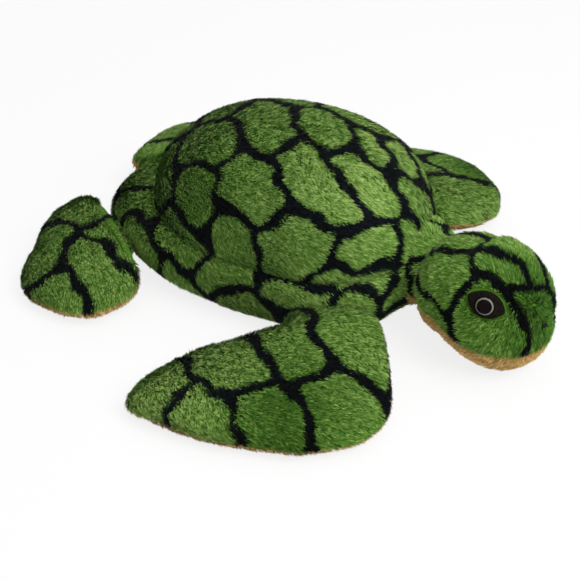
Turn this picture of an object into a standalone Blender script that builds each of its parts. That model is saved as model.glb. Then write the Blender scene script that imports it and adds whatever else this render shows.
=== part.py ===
"""Plush sea turtle, sewn from plush cloth over fibre stuffing, lying on its belly.

Metres, +Z up. The nose points along -Y and the turtle's left side is +X. The origin is the middle
of the flat belly that the toy rests on. Each limb is a closed form, and its cloth panels are the
layer between that form and the same form drawn in by the cloth's thickness.
"""

import math
from dataclasses import dataclass

import bmesh
import bpy
from mathutils import Matrix, Vector
from mathutils.bvhtree import BVHTree

MM = 0.001

# Cloth, and the air between pieces that touch and pieces that move
PLUSH = 3.0 * MM
GAP = 0.3 * MM
SWEEP_GAP = 0.6 * MM
OVERRUN = 6.0 * MM

# Body: the flat it rests on, the belly seam, the widest roll and the seam under the shell
BELLY_TUCK = 15.0 * MM
BELLY_SEAM_HEIGHT = 9.0 * MM
BELLY_HALF_WIDTH = 84.0 * MM
BELLY_FRONT = 99.0 * MM
BELLY_REAR = 148.0 * MM
ROLL_HEIGHT = 32.0 * MM
ROLL_HALF_WIDTH = 97.0 * MM
ROLL_FRONT = 113.0 * MM
ROLL_REAR = 178.0 * MM
SHELL_SEAM_HEIGHT = 55.0 * MM
SHELL_HALF_WIDTH = 91.0 * MM
SHELL_FRONT = 111.0 * MM
SHELL_REAR = 131.0 * MM
SHELL_RISE = 88.0 * MM

# Neck: a ball that turns about an upright axis in the body, and the tube in front of it
NECK_AXIS = 102.0 * MM
NECK_HEIGHT = 44.0 * MM
NECK_RADIUS = 37.0 * MM
NECK_HALF_HEIGHT = 36.0 * MM
NECK_MOUTH_HALF_WIDTH = 32.0 * MM
NECK_MOUTH_HALF_HEIGHT = 29.0 * MM
NECK_MOUTH_RISE = 6.0 * MM
NECK_MOUTH_SET = 10.0 * MM

# Head: a rounded back that nods about a cross axis in the neck, and the face in front of it
HEAD_AXIS = 163.0 * MM
HEAD_HEIGHT = 49.5 * MM
HEAD_HALF_WIDTH = 46.0 * MM
HEAD_RADIUS = 42.0 * MM
HEAD_REACH = 70.0 * MM
HEAD_DROOP = 16.0 * MM

# Eyes: a button with a shank, the washer that locks it and the lid patch behind it
EYE_HEIGHT = 58.5 * MM
EYE_RADIUS = 7.0 * MM
EYE_BULGE = 3.6 * MM
EYE_FLANGE = 1.0 * MM
EYE_SHANK_RADIUS = 2.2 * MM
EYE_SHANK_LENGTH = 12.0 * MM
WASHER_RADIUS = 8.0 * MM
WASHER_THICKNESS = 1.6 * MM
LID_LENGTH = 30.0 * MM
LID_WIDTH = 21.5 * MM
LID_THICKNESS = 1.2 * MM
PATCH_STANDOFF = 0.7 * MM

# Nostrils: small sewn ovals beside the tip of the nose
NOSTRIL_OUT = 9.0 * MM
NOSTRIL_HEIGHT = 48.0 * MM
NOSTRIL_LENGTH = 6.0 * MM
NOSTRIL_WIDTH = 3.4 * MM
NOSTRIL_THICKNESS = 1.0 * MM

# Front flippers
FRONT_HALF_CHORD = 39.0 * MM
FRONT_ROOT_RADIUS = 14.0 * MM
FRONT_SPAN = 114.0 * MM
FRONT_SWEEP = 147.0 * MM
FRONT_TOP = 21.0 * MM
FRONT_UNDER = 9.0 * MM

# Rear flippers
REAR_HALF_CHORD = 38.0 * MM
REAR_ROOT_RADIUS = 12.5 * MM
REAR_SPAN = 90.0 * MM
REAR_SWEEP = 70.0 * MM
REAR_TOP = 19.0 * MM
REAR_UNDER = 9.0 * MM

# How deep a flipper's root sits in the side panel, and how high its edges lie above the floor
ROOT_SEAT = 1.8 * MM
EDGE_HEIGHT = 10.0 * MM

# Angles, in degrees
HEAD_TURN = -20.0
FRONT_HINGE_TURN = 56.0
REAR_HINGE_TURN = 139.0
NECK_BALL_ANGLE = 33.0
NECK_SEAM_ANGLE = -25.0
HEAD_SEAM_ANGLE = -15.0
FLIPPER_SEAM_ANGLE = 0.0
FACE_TURN = 12.0
FACE_ROLL = -12.0
EYE_TOE = 14.0
EYE_LIFT = 8.0

# Unit shapes
OUTLINE_FULLNESS_SHARE = 0.88
DOME_FULLNESS_SHARE = 0.91
LID_POINT_SHARE = 0.35
EYE_REACH_SHARE = 0.288
BEND_END_SHARE = 0.50
PATCH_SPREAD_SHARES = (0.0, 0.5, 1.0)

# Mesh fineness
PLAN_POINTS = 28
SHELL_STEPS = 5
SIDE_STEPS = 3
BELLY_STEPS = 2
TUBE_POINTS = 16
BLADE_POINTS = 12
ROOT_STEPS = 3
ROUND_POINTS = 16
CUTTER_POINTS = 28

# Head sections in front of its axis: reach, half width, crown and chin, as shares
HEAD_SECTION_SHARES = (
    (0.00, 1.00, 1.00, 1.00),
    (0.18, 1.04, 1.14, 1.09),
    (0.38, 1.03, 1.18, 1.10),
    (0.58, 0.95, 1.10, 1.02),
    (0.76, 0.79, 0.92, 0.86),
    (0.90, 0.55, 0.62, 0.60),
    (0.98, 0.26, 0.26, 0.28),
)

# Blade sections, from the root to the tip, as shares of span and sweep: the leading edge's place out
# and aft, the trailing edge's place out and aft, fullness, and how far each edge has come down
FRONT_BLADE_SHARES = (
    (0.20, -0.29, 0.05, 0.28, 0.92, 0.35, 0.10),
    (0.46, -0.30, 0.07, 0.42, 1.00, 0.75, 0.25),
    (0.72, -0.27, 0.10, 0.56, 1.00, 1.00, 0.45),
    (0.93, -0.14, 0.14, 0.70, 0.97, 1.00, 0.60),
    (1.02, 0.14, 0.20, 0.82, 0.92, 1.00, 0.75),
    (0.96, 0.46, 0.29, 0.92, 0.86, 1.00, 0.88),
    (0.84, 0.74, 0.38, 0.99, 0.78, 1.00, 0.95),
    (0.70, 0.92, 0.48, 1.03, 0.62, 1.00, 1.00),
)
FRONT_TIP_SHARES = (0.60, 1.04)
REAR_BLADE_SHARES = (
    (-0.02, -0.74, -0.06, 0.76, 0.94, 0.45, 0.00),
    (0.16, -0.98, 0.06, 0.96, 1.00, 0.90, 0.05),
    (0.44, -1.02, 0.24, 0.94, 1.00, 1.00, 0.20),
    (0.68, -0.84, 0.46, 0.75, 0.94, 1.00, 0.50),
    (0.84, -0.54, 0.66, 0.46, 0.80, 1.00, 0.85),
)
REAR_TIP_SHARES = (0.92, -0.02)

UP = Vector((0.0, 0.0, 1.0))
FORE = Vector((0.0, -1.0, 0.0))
LEFT = Vector((1.0, 0.0, 0.0))
SIDES = {"left": 1.0, "right": -1.0}
FRONT_BENDS = {"left": 38.0, "right": 0.0}
REAR_BENDS = {"left": 26.0, "right": 0.0}


def clear_scene():
    """Remove every object that the scene starts with."""
    for thing in list(bpy.data.objects):
        bpy.data.objects.remove(thing, do_unlink=True)


def material(name, colour, roughness, metallic=0.0):
    """A plain shaded surface."""
    made = bpy.data.materials.new(name)
    made.use_nodes = True
    shader = made.node_tree.nodes["Principled BSDF"]
    shader.inputs["Base Color"].default_value = (*colour, 1.0)
    shader.inputs["Roughness"].default_value = roughness
    shader.inputs["Metallic"].default_value = metallic
    return made


def printed_plush(name):
    return material(name + "_plush", (0.12, 0.32, 0.06), 0.9)


def tan_plush(name):
    return material(name + "_plush", (0.55, 0.38, 0.18), 0.9)


def fibre(name):
    return material(name + "_fibre", (0.85, 0.85, 0.82), 0.95)


def row_of(mesh, points):
    """Vertices for one row, where points that coincide share one."""
    made = {}
    for point in points:
        key = tuple(point)
        if key not in made:
            made[key] = mesh.verts.new(point)
    return [made[tuple(point)] for point in points]


def split_cell(near_left, near_right, far_right, far_left):
    """Two triangles across the shorter diagonal, so that nested forms are split alike."""
    if (near_left.co - far_right.co).length <= (near_right.co - far_left.co).length:
        return (near_left, near_right, far_right), (near_left, far_right, far_left)
    return (near_left, near_right, far_left), (near_right, far_right, far_left)


def loft(point_rows, ring=False):
    """A closed mesh through closed rows of points, capped at its ends or joined end to end."""
    mesh = bmesh.new()
    rows = [row_of(mesh, points) for points in point_rows]
    chain = rows + rows[:1] if ring else rows
    for near, far in zip(chain, chain[1:]):
        for here in range(len(near)):
            after = (here + 1) % len(near)
            for corners in split_cell(near[here], near[after], far[after], far[here]):
                if len(set(corners)) == len(corners):
                    mesh.faces.new(corners)
    if not ring:
        for end in (rows[0], rows[-1]):
            if len(set(end)) > 2:
                mesh.faces.new(end)
    bmesh.ops.recalc_face_normals(mesh, faces=mesh.faces)
    return mesh


def place(name, mesh, finish, pivot=None):
    """An object from a mesh in world places, hung from its joint's pivot if it has one."""
    data = bpy.data.meshes.new(name)
    if pivot:
        bmesh.ops.translate(mesh, verts=mesh.verts, vec=-pivot.location)
    mesh.to_mesh(data)
    mesh.free()
    data.materials.append(finish)
    data.shade_smooth()
    thing = bpy.data.objects.new(name, data)
    thing.parent = pivot
    bpy.context.scene.collection.objects.link(thing)
    return thing


def add_pivot(name, location):
    """An empty on a joint's axis."""
    empty = bpy.data.objects.new(name, None)
    empty.location = location
    bpy.context.scene.collection.objects.link(empty)
    return empty


def cutter(name, mesh, pivot=None):
    """A hidden object that is taken out of others."""
    thing = place(name, mesh, fibre(name), pivot)
    thing.hide_render = True
    thing.display_type = "WIRE"
    return thing


def cut(thing, *cutters):
    """Take each cutter's solid out of an object."""
    for tool in cutters:
        boolean = thing.modifiers.new("cut " + tool.name, "BOOLEAN")
        boolean.operation = "DIFFERENCE"
        boolean.object = tool


def spheroid_cutter(name, centre, axis, half_length, radius):
    """A hidden spheroid of revolution about a joint's axis."""
    mesh = bmesh.new()
    bmesh.ops.create_uvsphere(
        mesh, u_segments=CUTTER_POINTS, v_segments=CUTTER_POINTS // 2, radius=1.0
    )
    bmesh.ops.scale(mesh, verts=mesh.verts, vec=(radius, radius, half_length))
    turn = UP.rotation_difference(axis)
    bmesh.ops.rotate(mesh, verts=mesh.verts, matrix=turn.to_matrix())
    bmesh.ops.translate(mesh, verts=mesh.verts, vec=centre)
    return cutter(name, mesh)


def signed_power(value, power):
    return math.copysign(abs(value) ** power, value)


@dataclass(frozen=True)
class Level:
    """One outline of the body, seen from above, at its own height."""

    height: float
    half_width: float
    front: float
    rear: float

    def point(self, turn):
        """The place at an angle from the front, turning towards the left."""
        reach = self.front if math.cos(turn) > 0.0 else self.rear
        return Vector(
            (
                self.half_width * signed_power(math.sin(turn), OUTLINE_FULLNESS_SHARE),
                -reach * signed_power(math.cos(turn), OUTLINE_FULLNESS_SHARE),
                self.height,
            )
        )

    def ring(self):
        return [self.point(math.tau * step / PLAN_POINTS) for step in range(PLAN_POINTS)]

    def drawn_in(self, inset):
        return Level(self.height, self.half_width - inset, self.front - inset, self.rear - inset)

    def moved(self, rise):
        return Level(self.height + rise, self.half_width, self.front, self.rear)

    def towards(self, other, outward, upward):
        """A level part of the way to another, with one share for its spread and one for its height."""
        return Level(
            self.height + (other.height - self.height) * upward,
            self.half_width + (other.half_width - self.half_width) * outward,
            self.front + (other.front - self.front) * outward,
            self.rear + (other.rear - self.rear) * outward,
        )


BELLY_SEAM = Level(BELLY_SEAM_HEIGHT, BELLY_HALF_WIDTH, BELLY_FRONT, BELLY_REAR)
ROLL = Level(ROLL_HEIGHT, ROLL_HALF_WIDTH, ROLL_FRONT, ROLL_REAR)
SHELL_SEAM = Level(SHELL_SEAM_HEIGHT, SHELL_HALF_WIDTH, SHELL_FRONT, SHELL_REAR)


def quarter(steps, first=0):
    """Angles over a quarter turn, in even steps."""
    return [math.pi / 2 * step / steps for step in range(first, steps + 1)]


def belly_levels(inset):
    """Levels from the flat that the toy rests on up to the belly seam."""
    seam = BELLY_SEAM.drawn_in(inset)
    flat = BELLY_SEAM.drawn_in(inset + BELLY_TUCK).moved(inset - BELLY_SEAM_HEIGHT)
    return [flat.towards(seam, math.sin(lean), 1.0 - math.cos(lean)) for lean in quarter(BELLY_STEPS)]


def side_levels(inset):
    """Levels from the belly seam round the roll up to the shell seam."""
    low = BELLY_SEAM.drawn_in(inset).moved(GAP)
    roll = ROLL.drawn_in(inset)
    high = SHELL_SEAM.drawn_in(inset)
    rising = [low.towards(roll, math.sin(lean), 1.0 - math.cos(lean)) for lean in quarter(SIDE_STEPS)]
    closing = [
        high.towards(roll, math.cos(lean), 1.0 - math.sin(lean)) for lean in quarter(SIDE_STEPS, 1)
    ]
    return rising + closing


def shell_levels(inset):
    """Levels from the shell seam up over the dome to its top."""
    seam = SHELL_SEAM.drawn_in(inset).moved(GAP)
    rise = SHELL_RISE - inset
    levels = []
    for lean in quarter(SHELL_STEPS, 0)[:-1]:
        spread = signed_power(math.cos(lean), DOME_FULLNESS_SHARE)
        lift = rise * signed_power(math.sin(lean), DOME_FULLNESS_SHARE)
        levels.append(
            Level(seam.height + lift, seam.half_width * spread, seam.front * spread, seam.rear * spread)
        )
    return levels + [Level(seam.height + rise, 0.0, 0.0, 0.0)]


def rings(levels):
    return [level.ring() for level in levels]


def build_shell_panel():
    outer = rings(shell_levels(0.0))
    inner = rings(shell_levels(PLUSH))
    return place("shell_panel", loft(outer[::-1] + inner), printed_plush("shell"))


def build_belly_panel():
    outer = rings(belly_levels(0.0))
    inner = rings(belly_levels(PLUSH))
    return place("belly_panel", loft(outer + inner[::-1]), tan_plush("belly"))


def build_side_panel(side):
    """One side of the rim, from the middle of the front round to the middle of the rump."""
    outer = side_levels(0.0)
    inner = side_levels(PLUSH)
    columns = []
    for step in range(PLAN_POINTS // 2 + 1):
        turn = SIDES[side] * math.tau * step / PLAN_POINTS
        columns.append([level.point(turn) for level in outer + inner[::-1]])
    mesh = loft(columns)
    bmesh.ops.translate(mesh, verts=mesh.verts, vec=LEFT * (SIDES[side] * GAP / 2))
    return place("side_panel_" + side, mesh, printed_plush("side_" + side))


def build_body_stuffing():
    inset = PLUSH + GAP
    levels = belly_levels(inset) + side_levels(inset) + shell_levels(inset)
    return place("body_stuffing", loft(rings(levels)), fibre("body"))


@dataclass(frozen=True)
class Section:
    """One cross-section of a limb, rounded, with its own depth above and below its widest line."""

    centre: Vector
    across: Vector
    half_width: float
    half_up: float
    half_down: float

    def point(self, angle):
        rise = self.half_up if math.sin(angle) > 0.0 else self.half_down
        return (
            self.centre
            + self.across * (self.half_width * math.cos(angle))
            + UP * (rise * math.sin(angle))
        )

    def arc(self, first, last, steps):
        return [self.point(first + (last - first) * step / steps) for step in range(steps + 1)]


def pole(centre):
    """The closed end of a limb."""
    return Section(centre, LEFT, 0.0, 0.0, 0.0)


def whole_form(sections, seam, points):
    """A limb's closed solid, with its points where its panels have theirs."""
    rows = []
    for section in sections:
        top = section.arc(seam, math.pi - seam, points // 2)
        under = section.arc(math.pi - seam, math.tau + seam, points // 2)
        rows.append(top + under[1:-1])
    return loft(rows)


def half_form(outer, inner, first, last, points, lift):
    """The cloth between two forms, from one seam to the other, clear of the other half."""
    rows = []
    for out, into in zip(outer, inner):
        rows.append(out.arc(first, last, points // 2) + into.arc(last, first, points // 2))
    mesh = loft(rows)
    bmesh.ops.translate(mesh, verts=mesh.verts, vec=UP * lift)
    return mesh


def dress_limb(form, points, seam_angle, names, pivot):
    """Top panel, under panel and stuffing of a limb, from its form and the angle of its seams."""
    outer = form(0.0)
    inner = form(PLUSH)
    seam = math.radians(seam_angle)
    top_name, under_name, stuffing_name = names
    top = half_form(outer, inner, seam, math.pi - seam, points, GAP / 2)
    under = half_form(outer, inner, math.pi - seam, math.tau + seam, points, -GAP / 2)
    stuffing = whole_form(form(PLUSH + GAP), seam, points)
    return (
        place(top_name, top, printed_plush(top_name), pivot),
        place(under_name, under, tan_plush(under_name), pivot),
        place(stuffing_name, stuffing, fibre(stuffing_name), pivot),
    )


def rounded_back(axis, backward, across, half_width, radius, half_height):
    """Sections behind a joint's axis, from the pole of a half spheroid up to the axis itself."""
    sections = [pole(axis + backward * radius)]
    for lean in quarter(ROOT_STEPS)[-2::-1]:
        size = math.cos(lean)
        centre = axis + backward * (radius * math.sin(lean))
        sections.append(
            Section(centre, across, half_width * size, half_height * size, half_height * size)
        )
    return sections


def turned_aside(vector):
    """A direction turned as the head is, which looks a little to one side."""
    return Matrix.Rotation(math.radians(HEAD_TURN), 3, "Z") @ vector


HEAD_FORE = turned_aside(FORE)
HEAD_LEFT = turned_aside(LEFT)


def neck_axis():
    return FORE * NECK_AXIS + UP * NECK_HEIGHT


def ahead_of_neck(reach, height):
    """A place in front of the neck's axis, on the head's middle plane."""
    return FORE * NECK_AXIS + HEAD_FORE * (reach - NECK_AXIS) + UP * height


def head_axis():
    return ahead_of_neck(HEAD_AXIS, HEAD_HEIGHT)


def face_turned(vector):
    """A direction on the head, turned to the left and rolled with its right side up, as the face is."""
    roll = Matrix.Rotation(math.radians(FACE_ROLL), 3, HEAD_FORE)
    return Matrix.Rotation(math.radians(FACE_TURN), 3, "Z") @ roll @ vector


def face_place(reach, out, height):
    """A place on the face, measured from the head's axis ahead, to the left and above the floor."""
    aside = HEAD_FORE * reach + HEAD_LEFT * out + UP * (height - HEAD_HEIGHT)
    return head_axis() + face_turned(aside)


def neck_form(inset):
    """Sections of the neck, from inside the body to inside the back of the head."""
    radius = NECK_RADIUS - inset
    half_height = NECK_HALF_HEIGHT - inset
    sections = rounded_back(neck_axis(), -HEAD_FORE, HEAD_LEFT, radius, radius, half_height)
    for lean in (math.radians(NECK_BALL_ANGLE) / 2, math.radians(NECK_BALL_ANGLE)):
        size = math.cos(lean)
        centre = neck_axis() + HEAD_FORE * (radius * math.sin(lean))
        sections.append(Section(centre, HEAD_LEFT, radius * size, half_height * size, half_height * size))
    mouth = Section(
        ahead_of_neck(HEAD_AXIS - NECK_MOUTH_SET, NECK_HEIGHT + NECK_MOUTH_RISE),
        HEAD_LEFT,
        NECK_MOUTH_HALF_WIDTH - inset,
        NECK_MOUTH_HALF_HEIGHT - inset,
        NECK_MOUTH_HALF_HEIGHT - inset,
    )
    return sections + [mouth]


def head_form(inset):
    """Sections of the head, from the back that sits in the neck to the tip of the nose."""
    radius = HEAD_RADIUS - inset
    sections = rounded_back(
        head_axis(), -HEAD_FORE, HEAD_LEFT, HEAD_HALF_WIDTH - inset, radius, radius
    )
    for reach, width, crown, chin in HEAD_SECTION_SHARES:
        droop = HEAD_DROOP * reach**2
        centre = head_axis() + HEAD_FORE * ((HEAD_REACH - inset) * reach) - UP * droop
        sections.append(
            Section(
                centre,
                HEAD_LEFT,
                HEAD_HALF_WIDTH * width - inset,
                HEAD_RADIUS * crown - inset,
                HEAD_RADIUS * chin - inset,
            )
        )
    nose = head_axis() + HEAD_FORE * (HEAD_REACH - inset) - UP * HEAD_DROOP
    return sections + [pole(nose)]


@dataclass(frozen=True)
class Flipper:
    """Sizes of one pair of flippers, and where their roots lie round the body."""

    name: str
    hinge_turn: float
    half_chord: float
    root_radius: float
    span: float
    sweep: float
    top: float
    under: float
    blade_shares: tuple
    tip_shares: tuple
    bends: dict

    def outward(self, side):
        """The direction away from the body's roll at the middle of the root."""
        turn = math.radians(self.hinge_turn)
        reach = ROLL_FRONT if math.cos(turn) > 0.0 else ROLL_REAR
        slope_share = 2.0 - OUTLINE_FULLNESS_SHARE
        across = SIDES[side] * signed_power(math.sin(turn), slope_share) / ROLL_HALF_WIDTH
        along = -signed_power(math.cos(turn), slope_share) / reach
        return Vector((across, along, 0.0)).normalized()

    def aft(self, side):
        """The direction of the hinge's axis, towards the tail."""
        return UP.cross(self.outward(side)) * SIDES[side]

    def hinge(self, side):
        """The middle of the hinge's axis."""
        wall = ROLL.point(SIDES[side] * math.radians(self.hinge_turn))
        return wall + self.outward(side) * (self.root_radius - ROOT_SEAT)

    def bend(self, side, lead_out, lead_aft):
        """How far a section is swept about the root, from its leading edge's place."""
        reach = math.hypot(self.span * lead_out, self.sweep * lead_aft)
        past = max(reach - self.half_chord, 0.0) / (self.sweep * BEND_END_SHARE)
        return Matrix.Rotation(SIDES[side] * math.radians(self.bends[side]) * min(past, 1.0), 3, "Z")

    def spot(self, side, out_share, aft_share, drop_share, bend):
        """A place on the blade's edge."""
        flat = self.outward(side) * (self.span * out_share) + self.aft(side) * (self.sweep * aft_share)
        return self.hinge(side) + bend @ flat - UP * ((ROLL_HEIGHT - EDGE_HEIGHT) * drop_share)

    def form(self, side, inset):
        """Sections from the rounded root to the tip."""
        sections = rounded_back(
            self.hinge(side),
            -self.outward(side),
            -self.aft(side),
            self.half_chord - inset,
            self.root_radius - inset,
            self.root_radius - inset,
        )
        for row in self.blade_shares:
            lead_out, lead_aft, trail_out, trail_aft, fullness, lead_drop, trail_drop = row
            bend = self.bend(side, lead_out, lead_aft)
            lead = self.spot(side, lead_out, lead_aft, lead_drop, bend)
            trail = self.spot(side, trail_out, trail_aft, trail_drop, bend)
            sections.append(
                Section(
                    (lead + trail) / 2,
                    (lead - trail).normalized(),
                    (lead - trail).length / 2 - inset,
                    self.top * fullness - inset,
                    self.under * fullness - inset,
                )
            )
        tip = self.spot(side, *self.tip_shares, 1.0, bend)
        tipward = (tip - sections[-1].centre).normalized()
        return sections + [pole(tip - tipward * inset)]

    def build(self, side):
        """Panels and stuffing of one flipper, and the hollow that its root takes in the body."""
        prefix = f"{self.name}_{side}"
        pivot = add_pivot(prefix + "_hinge", self.hinge(side))
        dress_limb(
            lambda inset: self.form(side, inset),
            BLADE_POINTS,
            FLIPPER_SEAM_ANGLE,
            (prefix + "_top", prefix + "_under", prefix + "_stuffing"),
            pivot,
        )
        return spheroid_cutter(
            prefix + "_hollow",
            self.hinge(side),
            self.aft(side),
            self.half_chord + SWEEP_GAP,
            self.root_radius + SWEEP_GAP,
        )


FRONT_FLIPPER = Flipper(
    "front_flipper",
    FRONT_HINGE_TURN,
    FRONT_HALF_CHORD,
    FRONT_ROOT_RADIUS,
    FRONT_SPAN,
    FRONT_SWEEP,
    FRONT_TOP,
    FRONT_UNDER,
    FRONT_BLADE_SHARES,
    FRONT_TIP_SHARES,
    FRONT_BENDS,
)
REAR_FLIPPER = Flipper(
    "rear_flipper",
    REAR_HINGE_TURN,
    REAR_HALF_CHORD,
    REAR_ROOT_RADIUS,
    REAR_SPAN,
    REAR_SWEEP,
    REAR_TOP,
    REAR_UNDER,
    REAR_BLADE_SHARES,
    REAR_TIP_SHARES,
    REAR_BENDS,
)


class Spot:
    """A place on the head, with the direction out of it, for a piece that sits on the cloth."""

    def __init__(self, panel, pivot, start, direction, lengthwise):
        places = [pivot.location + vertex.co for vertex in panel.data.vertices]
        corners = [tuple(face.vertices) for face in panel.data.polygons]
        self.cloth = BVHTree.FromPolygons(places, corners)
        self.out = direction.normalized()
        self.along = (lengthwise - self.out * lengthwise.dot(self.out)).normalized()
        self.rise = self.out.cross(self.along)
        self.start = start
        self.middle = self.outside(0.0, 0.0)

    def outside(self, along, rise):
        """Where the cloth's outer face lies, beside the middle of this place."""
        aside = self.start + self.along * along + self.rise * rise
        return self.cloth.ray_cast(aside + self.out * (HEAD_REACH * 2), -self.out)[0]

    def crown(self, radius):
        """How far above the middle the cloth's outer face rises within a radius."""
        heights = [0.0]
        for reach in (radius / 2, radius):
            for point in self.circle(reach, 0.0):
                aside = point - self.middle
                outer = self.outside(aside.dot(self.along), aside.dot(self.rise))
                heights.append((outer - self.middle).dot(self.out))
        return max(heights)

    def depth_inside(self, radius):
        """How far under the middle the deepest part of the cloth's inner face lies, at a radius."""
        depths = []
        for point in self.circle(radius, 0.0):
            aside = self.start + (point - self.middle)
            inner = self.cloth.ray_cast(aside, self.out)[0]
            depths.append((self.middle - inner).dot(self.out))
        return max(depths)

    def circle(self, radius, height):
        """A ring of points round this place's direction, at a height above the cloth."""
        points = []
        for step in range(ROUND_POINTS):
            angle = math.tau * step / ROUND_POINTS
            spoke = self.along * math.cos(angle) + self.rise * math.sin(angle)
            points.append(self.middle + self.out * height + spoke * radius)
        return points

    def turned(self, profile, ring=False):
        """A solid turned from pairs of radius and height above the cloth."""
        return loft([self.circle(radius, height) for radius, height in profile], ring)

    def patch(self, length, width, thickness, hole=0.0):
        """A thin almond that follows the cloth, with or without a round hole."""
        rows = []
        top = PATCH_STANDOFF + thickness
        for height, spreads in ((top, PATCH_SPREAD_SHARES), (PATCH_STANDOFF, PATCH_SPREAD_SHARES[::-1])):
            for spread in spreads:
                row = []
                for step in range(ROUND_POINTS):
                    angle = math.tau * step / ROUND_POINTS
                    cosine, sine = math.cos(angle), math.sin(angle)
                    edge_rise = width / 2 * sine * abs(sine) ** LID_POINT_SHARE
                    along = hole * cosine + (length / 2 - hole) * cosine * spread
                    rise = hole * sine + (edge_rise - hole * sine) * spread
                    row.append(self.outside(along, rise) + self.out * height)
                rows.append(row)
        return loft(rows, ring=hole > 0.0)


def build_eye(side, head_panel, head_stuffing, pivot):
    """Lid patch, button and lock washer of one eye, with their holes in the cloth and the filling."""
    toe = math.radians(EYE_TOE)
    lift = math.radians(EYE_LIFT)
    level = HEAD_LEFT * (SIDES[side] * math.cos(toe)) + HEAD_FORE * math.sin(toe)
    direction = level * math.cos(lift) + UP * math.sin(lift)
    start = face_place(HEAD_REACH * EYE_REACH_SHARE, 0.0, EYE_HEIGHT)
    spot = Spot(head_panel, pivot, start, face_turned(direction), face_turned(HEAD_FORE))
    hole = EYE_SHANK_RADIUS + GAP
    seat = spot.crown(EYE_RADIUS) + PATCH_STANDOFF + LID_THICKNESS + GAP
    tip = seat - EYE_SHANK_LENGTH
    washer_top = -spot.depth_inside(WASHER_RADIUS) - GAP
    washer_foot = washer_top - WASHER_THICKNESS
    lid = spot.patch(LID_LENGTH, LID_WIDTH, LID_THICKNESS, hole)
    place("eyelid_" + side, lid, material("lid_" + side, (0.03, 0.02, 0.015), 0.6), pivot)
    dome = [
        (EYE_RADIUS * math.cos(lean), seat + EYE_FLANGE + EYE_BULGE * math.sin(lean))
        for lean in quarter(ROOT_STEPS)[:-1]
    ]
    shank = [(0.0, tip), (EYE_SHANK_RADIUS, tip), (EYE_SHANK_RADIUS, seat), (EYE_RADIUS, seat)]
    eye = spot.turned(shank + dome + [(0.0, seat + EYE_FLANGE + EYE_BULGE)])
    place("eye_" + side, eye, material("eye_plastic_" + side, (0.02, 0.012, 0.01), 0.1), pivot)
    washer = spot.turned(
        [(hole, washer_foot), (WASHER_RADIUS, washer_foot), (WASHER_RADIUS, washer_top), (hole, washer_top)],
        ring=True,
    )
    place("eye_washer_" + side, washer, material("washer_" + side, (0.8, 0.8, 0.78), 0.5), pivot)
    cloth_hole = spot.turned([(0.0, tip), (hole, tip), (hole, OVERRUN), (0.0, OVERRUN)])
    pocket_radius = WASHER_RADIUS + GAP
    pocket_foot = washer_foot - GAP
    bottom = tip - GAP
    pocket = spot.turned(
        [
            (0.0, bottom),
            (hole, bottom),
            (hole, pocket_foot),
            (pocket_radius, pocket_foot),
            (pocket_radius, OVERRUN),
            (0.0, OVERRUN),
        ]
    )
    cut(head_panel, cutter(f"eye_{side}_cloth_hole", cloth_hole, pivot))
    cut(head_stuffing, cutter(f"eye_{side}_pocket", pocket, pivot))


def build_nostril(side, head_panel, pivot):
    start = face_place(0.0, SIDES[side] * NOSTRIL_OUT, NOSTRIL_HEIGHT)
    spot = Spot(head_panel, pivot, start, face_turned(HEAD_FORE), face_turned(HEAD_LEFT))
    mesh = spot.patch(NOSTRIL_LENGTH, NOSTRIL_WIDTH, NOSTRIL_THICKNESS)
    place("nostril_" + side, mesh, material("thread_" + side, (0.02, 0.02, 0.02), 0.7), pivot)


def build_neck():
    """Neck panels and stuffing, hollowed in front for the back of the head."""
    pivot = add_pivot("neck_turn_axis", neck_axis())
    pieces = dress_limb(
        neck_form, TUBE_POINTS, NECK_SEAM_ANGLE, ("neck_cover", "throat_cover", "neck_stuffing"), pivot
    )
    hollow = spheroid_cutter(
        "head_back_hollow", head_axis(), HEAD_LEFT, HEAD_HALF_WIDTH + SWEEP_GAP, HEAD_RADIUS + SWEEP_GAP
    )
    for piece in pieces:
        cut(piece, hollow)


def build_head():
    """Head panels, stuffing and the face."""
    pivot = add_pivot("head_nod_axis", head_axis())
    panel, jaw, stuffing = dress_limb(
        head_form, TUBE_POINTS, HEAD_SEAM_ANGLE, ("head_panel", "jaw_panel", "head_stuffing"), pivot
    )
    for side in SIDES:
        build_eye(side, panel, stuffing, pivot)
        build_nostril(side, panel, pivot)


def build_body(flipper_hollows):
    """Body panels and stuffing, hollowed for the neck and for the roots of the flippers."""
    sides = {side: build_side_panel(side) for side in SIDES}
    neck_hollow = spheroid_cutter(
        "neck_hollow", neck_axis(), UP, NECK_HALF_HEIGHT + SWEEP_GAP, NECK_RADIUS + SWEEP_GAP
    )
    for piece in (build_shell_panel(), build_belly_panel(), build_body_stuffing(), *sides.values()):
        cut(piece, neck_hollow)
    for side, panel in sides.items():
        cut(panel, *flipper_hollows[side])


def main():
    clear_scene()
    hollows = {side: [FRONT_FLIPPER.build(side), REAR_FLIPPER.build(side)] for side in SIDES}
    build_body(hollows)
    build_neck()
    build_head()


main()
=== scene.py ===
"""Plush sea turtle: short printed pile over stuffed cloth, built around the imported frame."""

import logging
import math
from collections.abc import Callable
from dataclasses import dataclass, field, replace
from enum import Enum

import bmesh
import bpy
import numpy as np
from mathutils import Matrix, Vector
from mathutils.bvhtree import BVHTree


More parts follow.
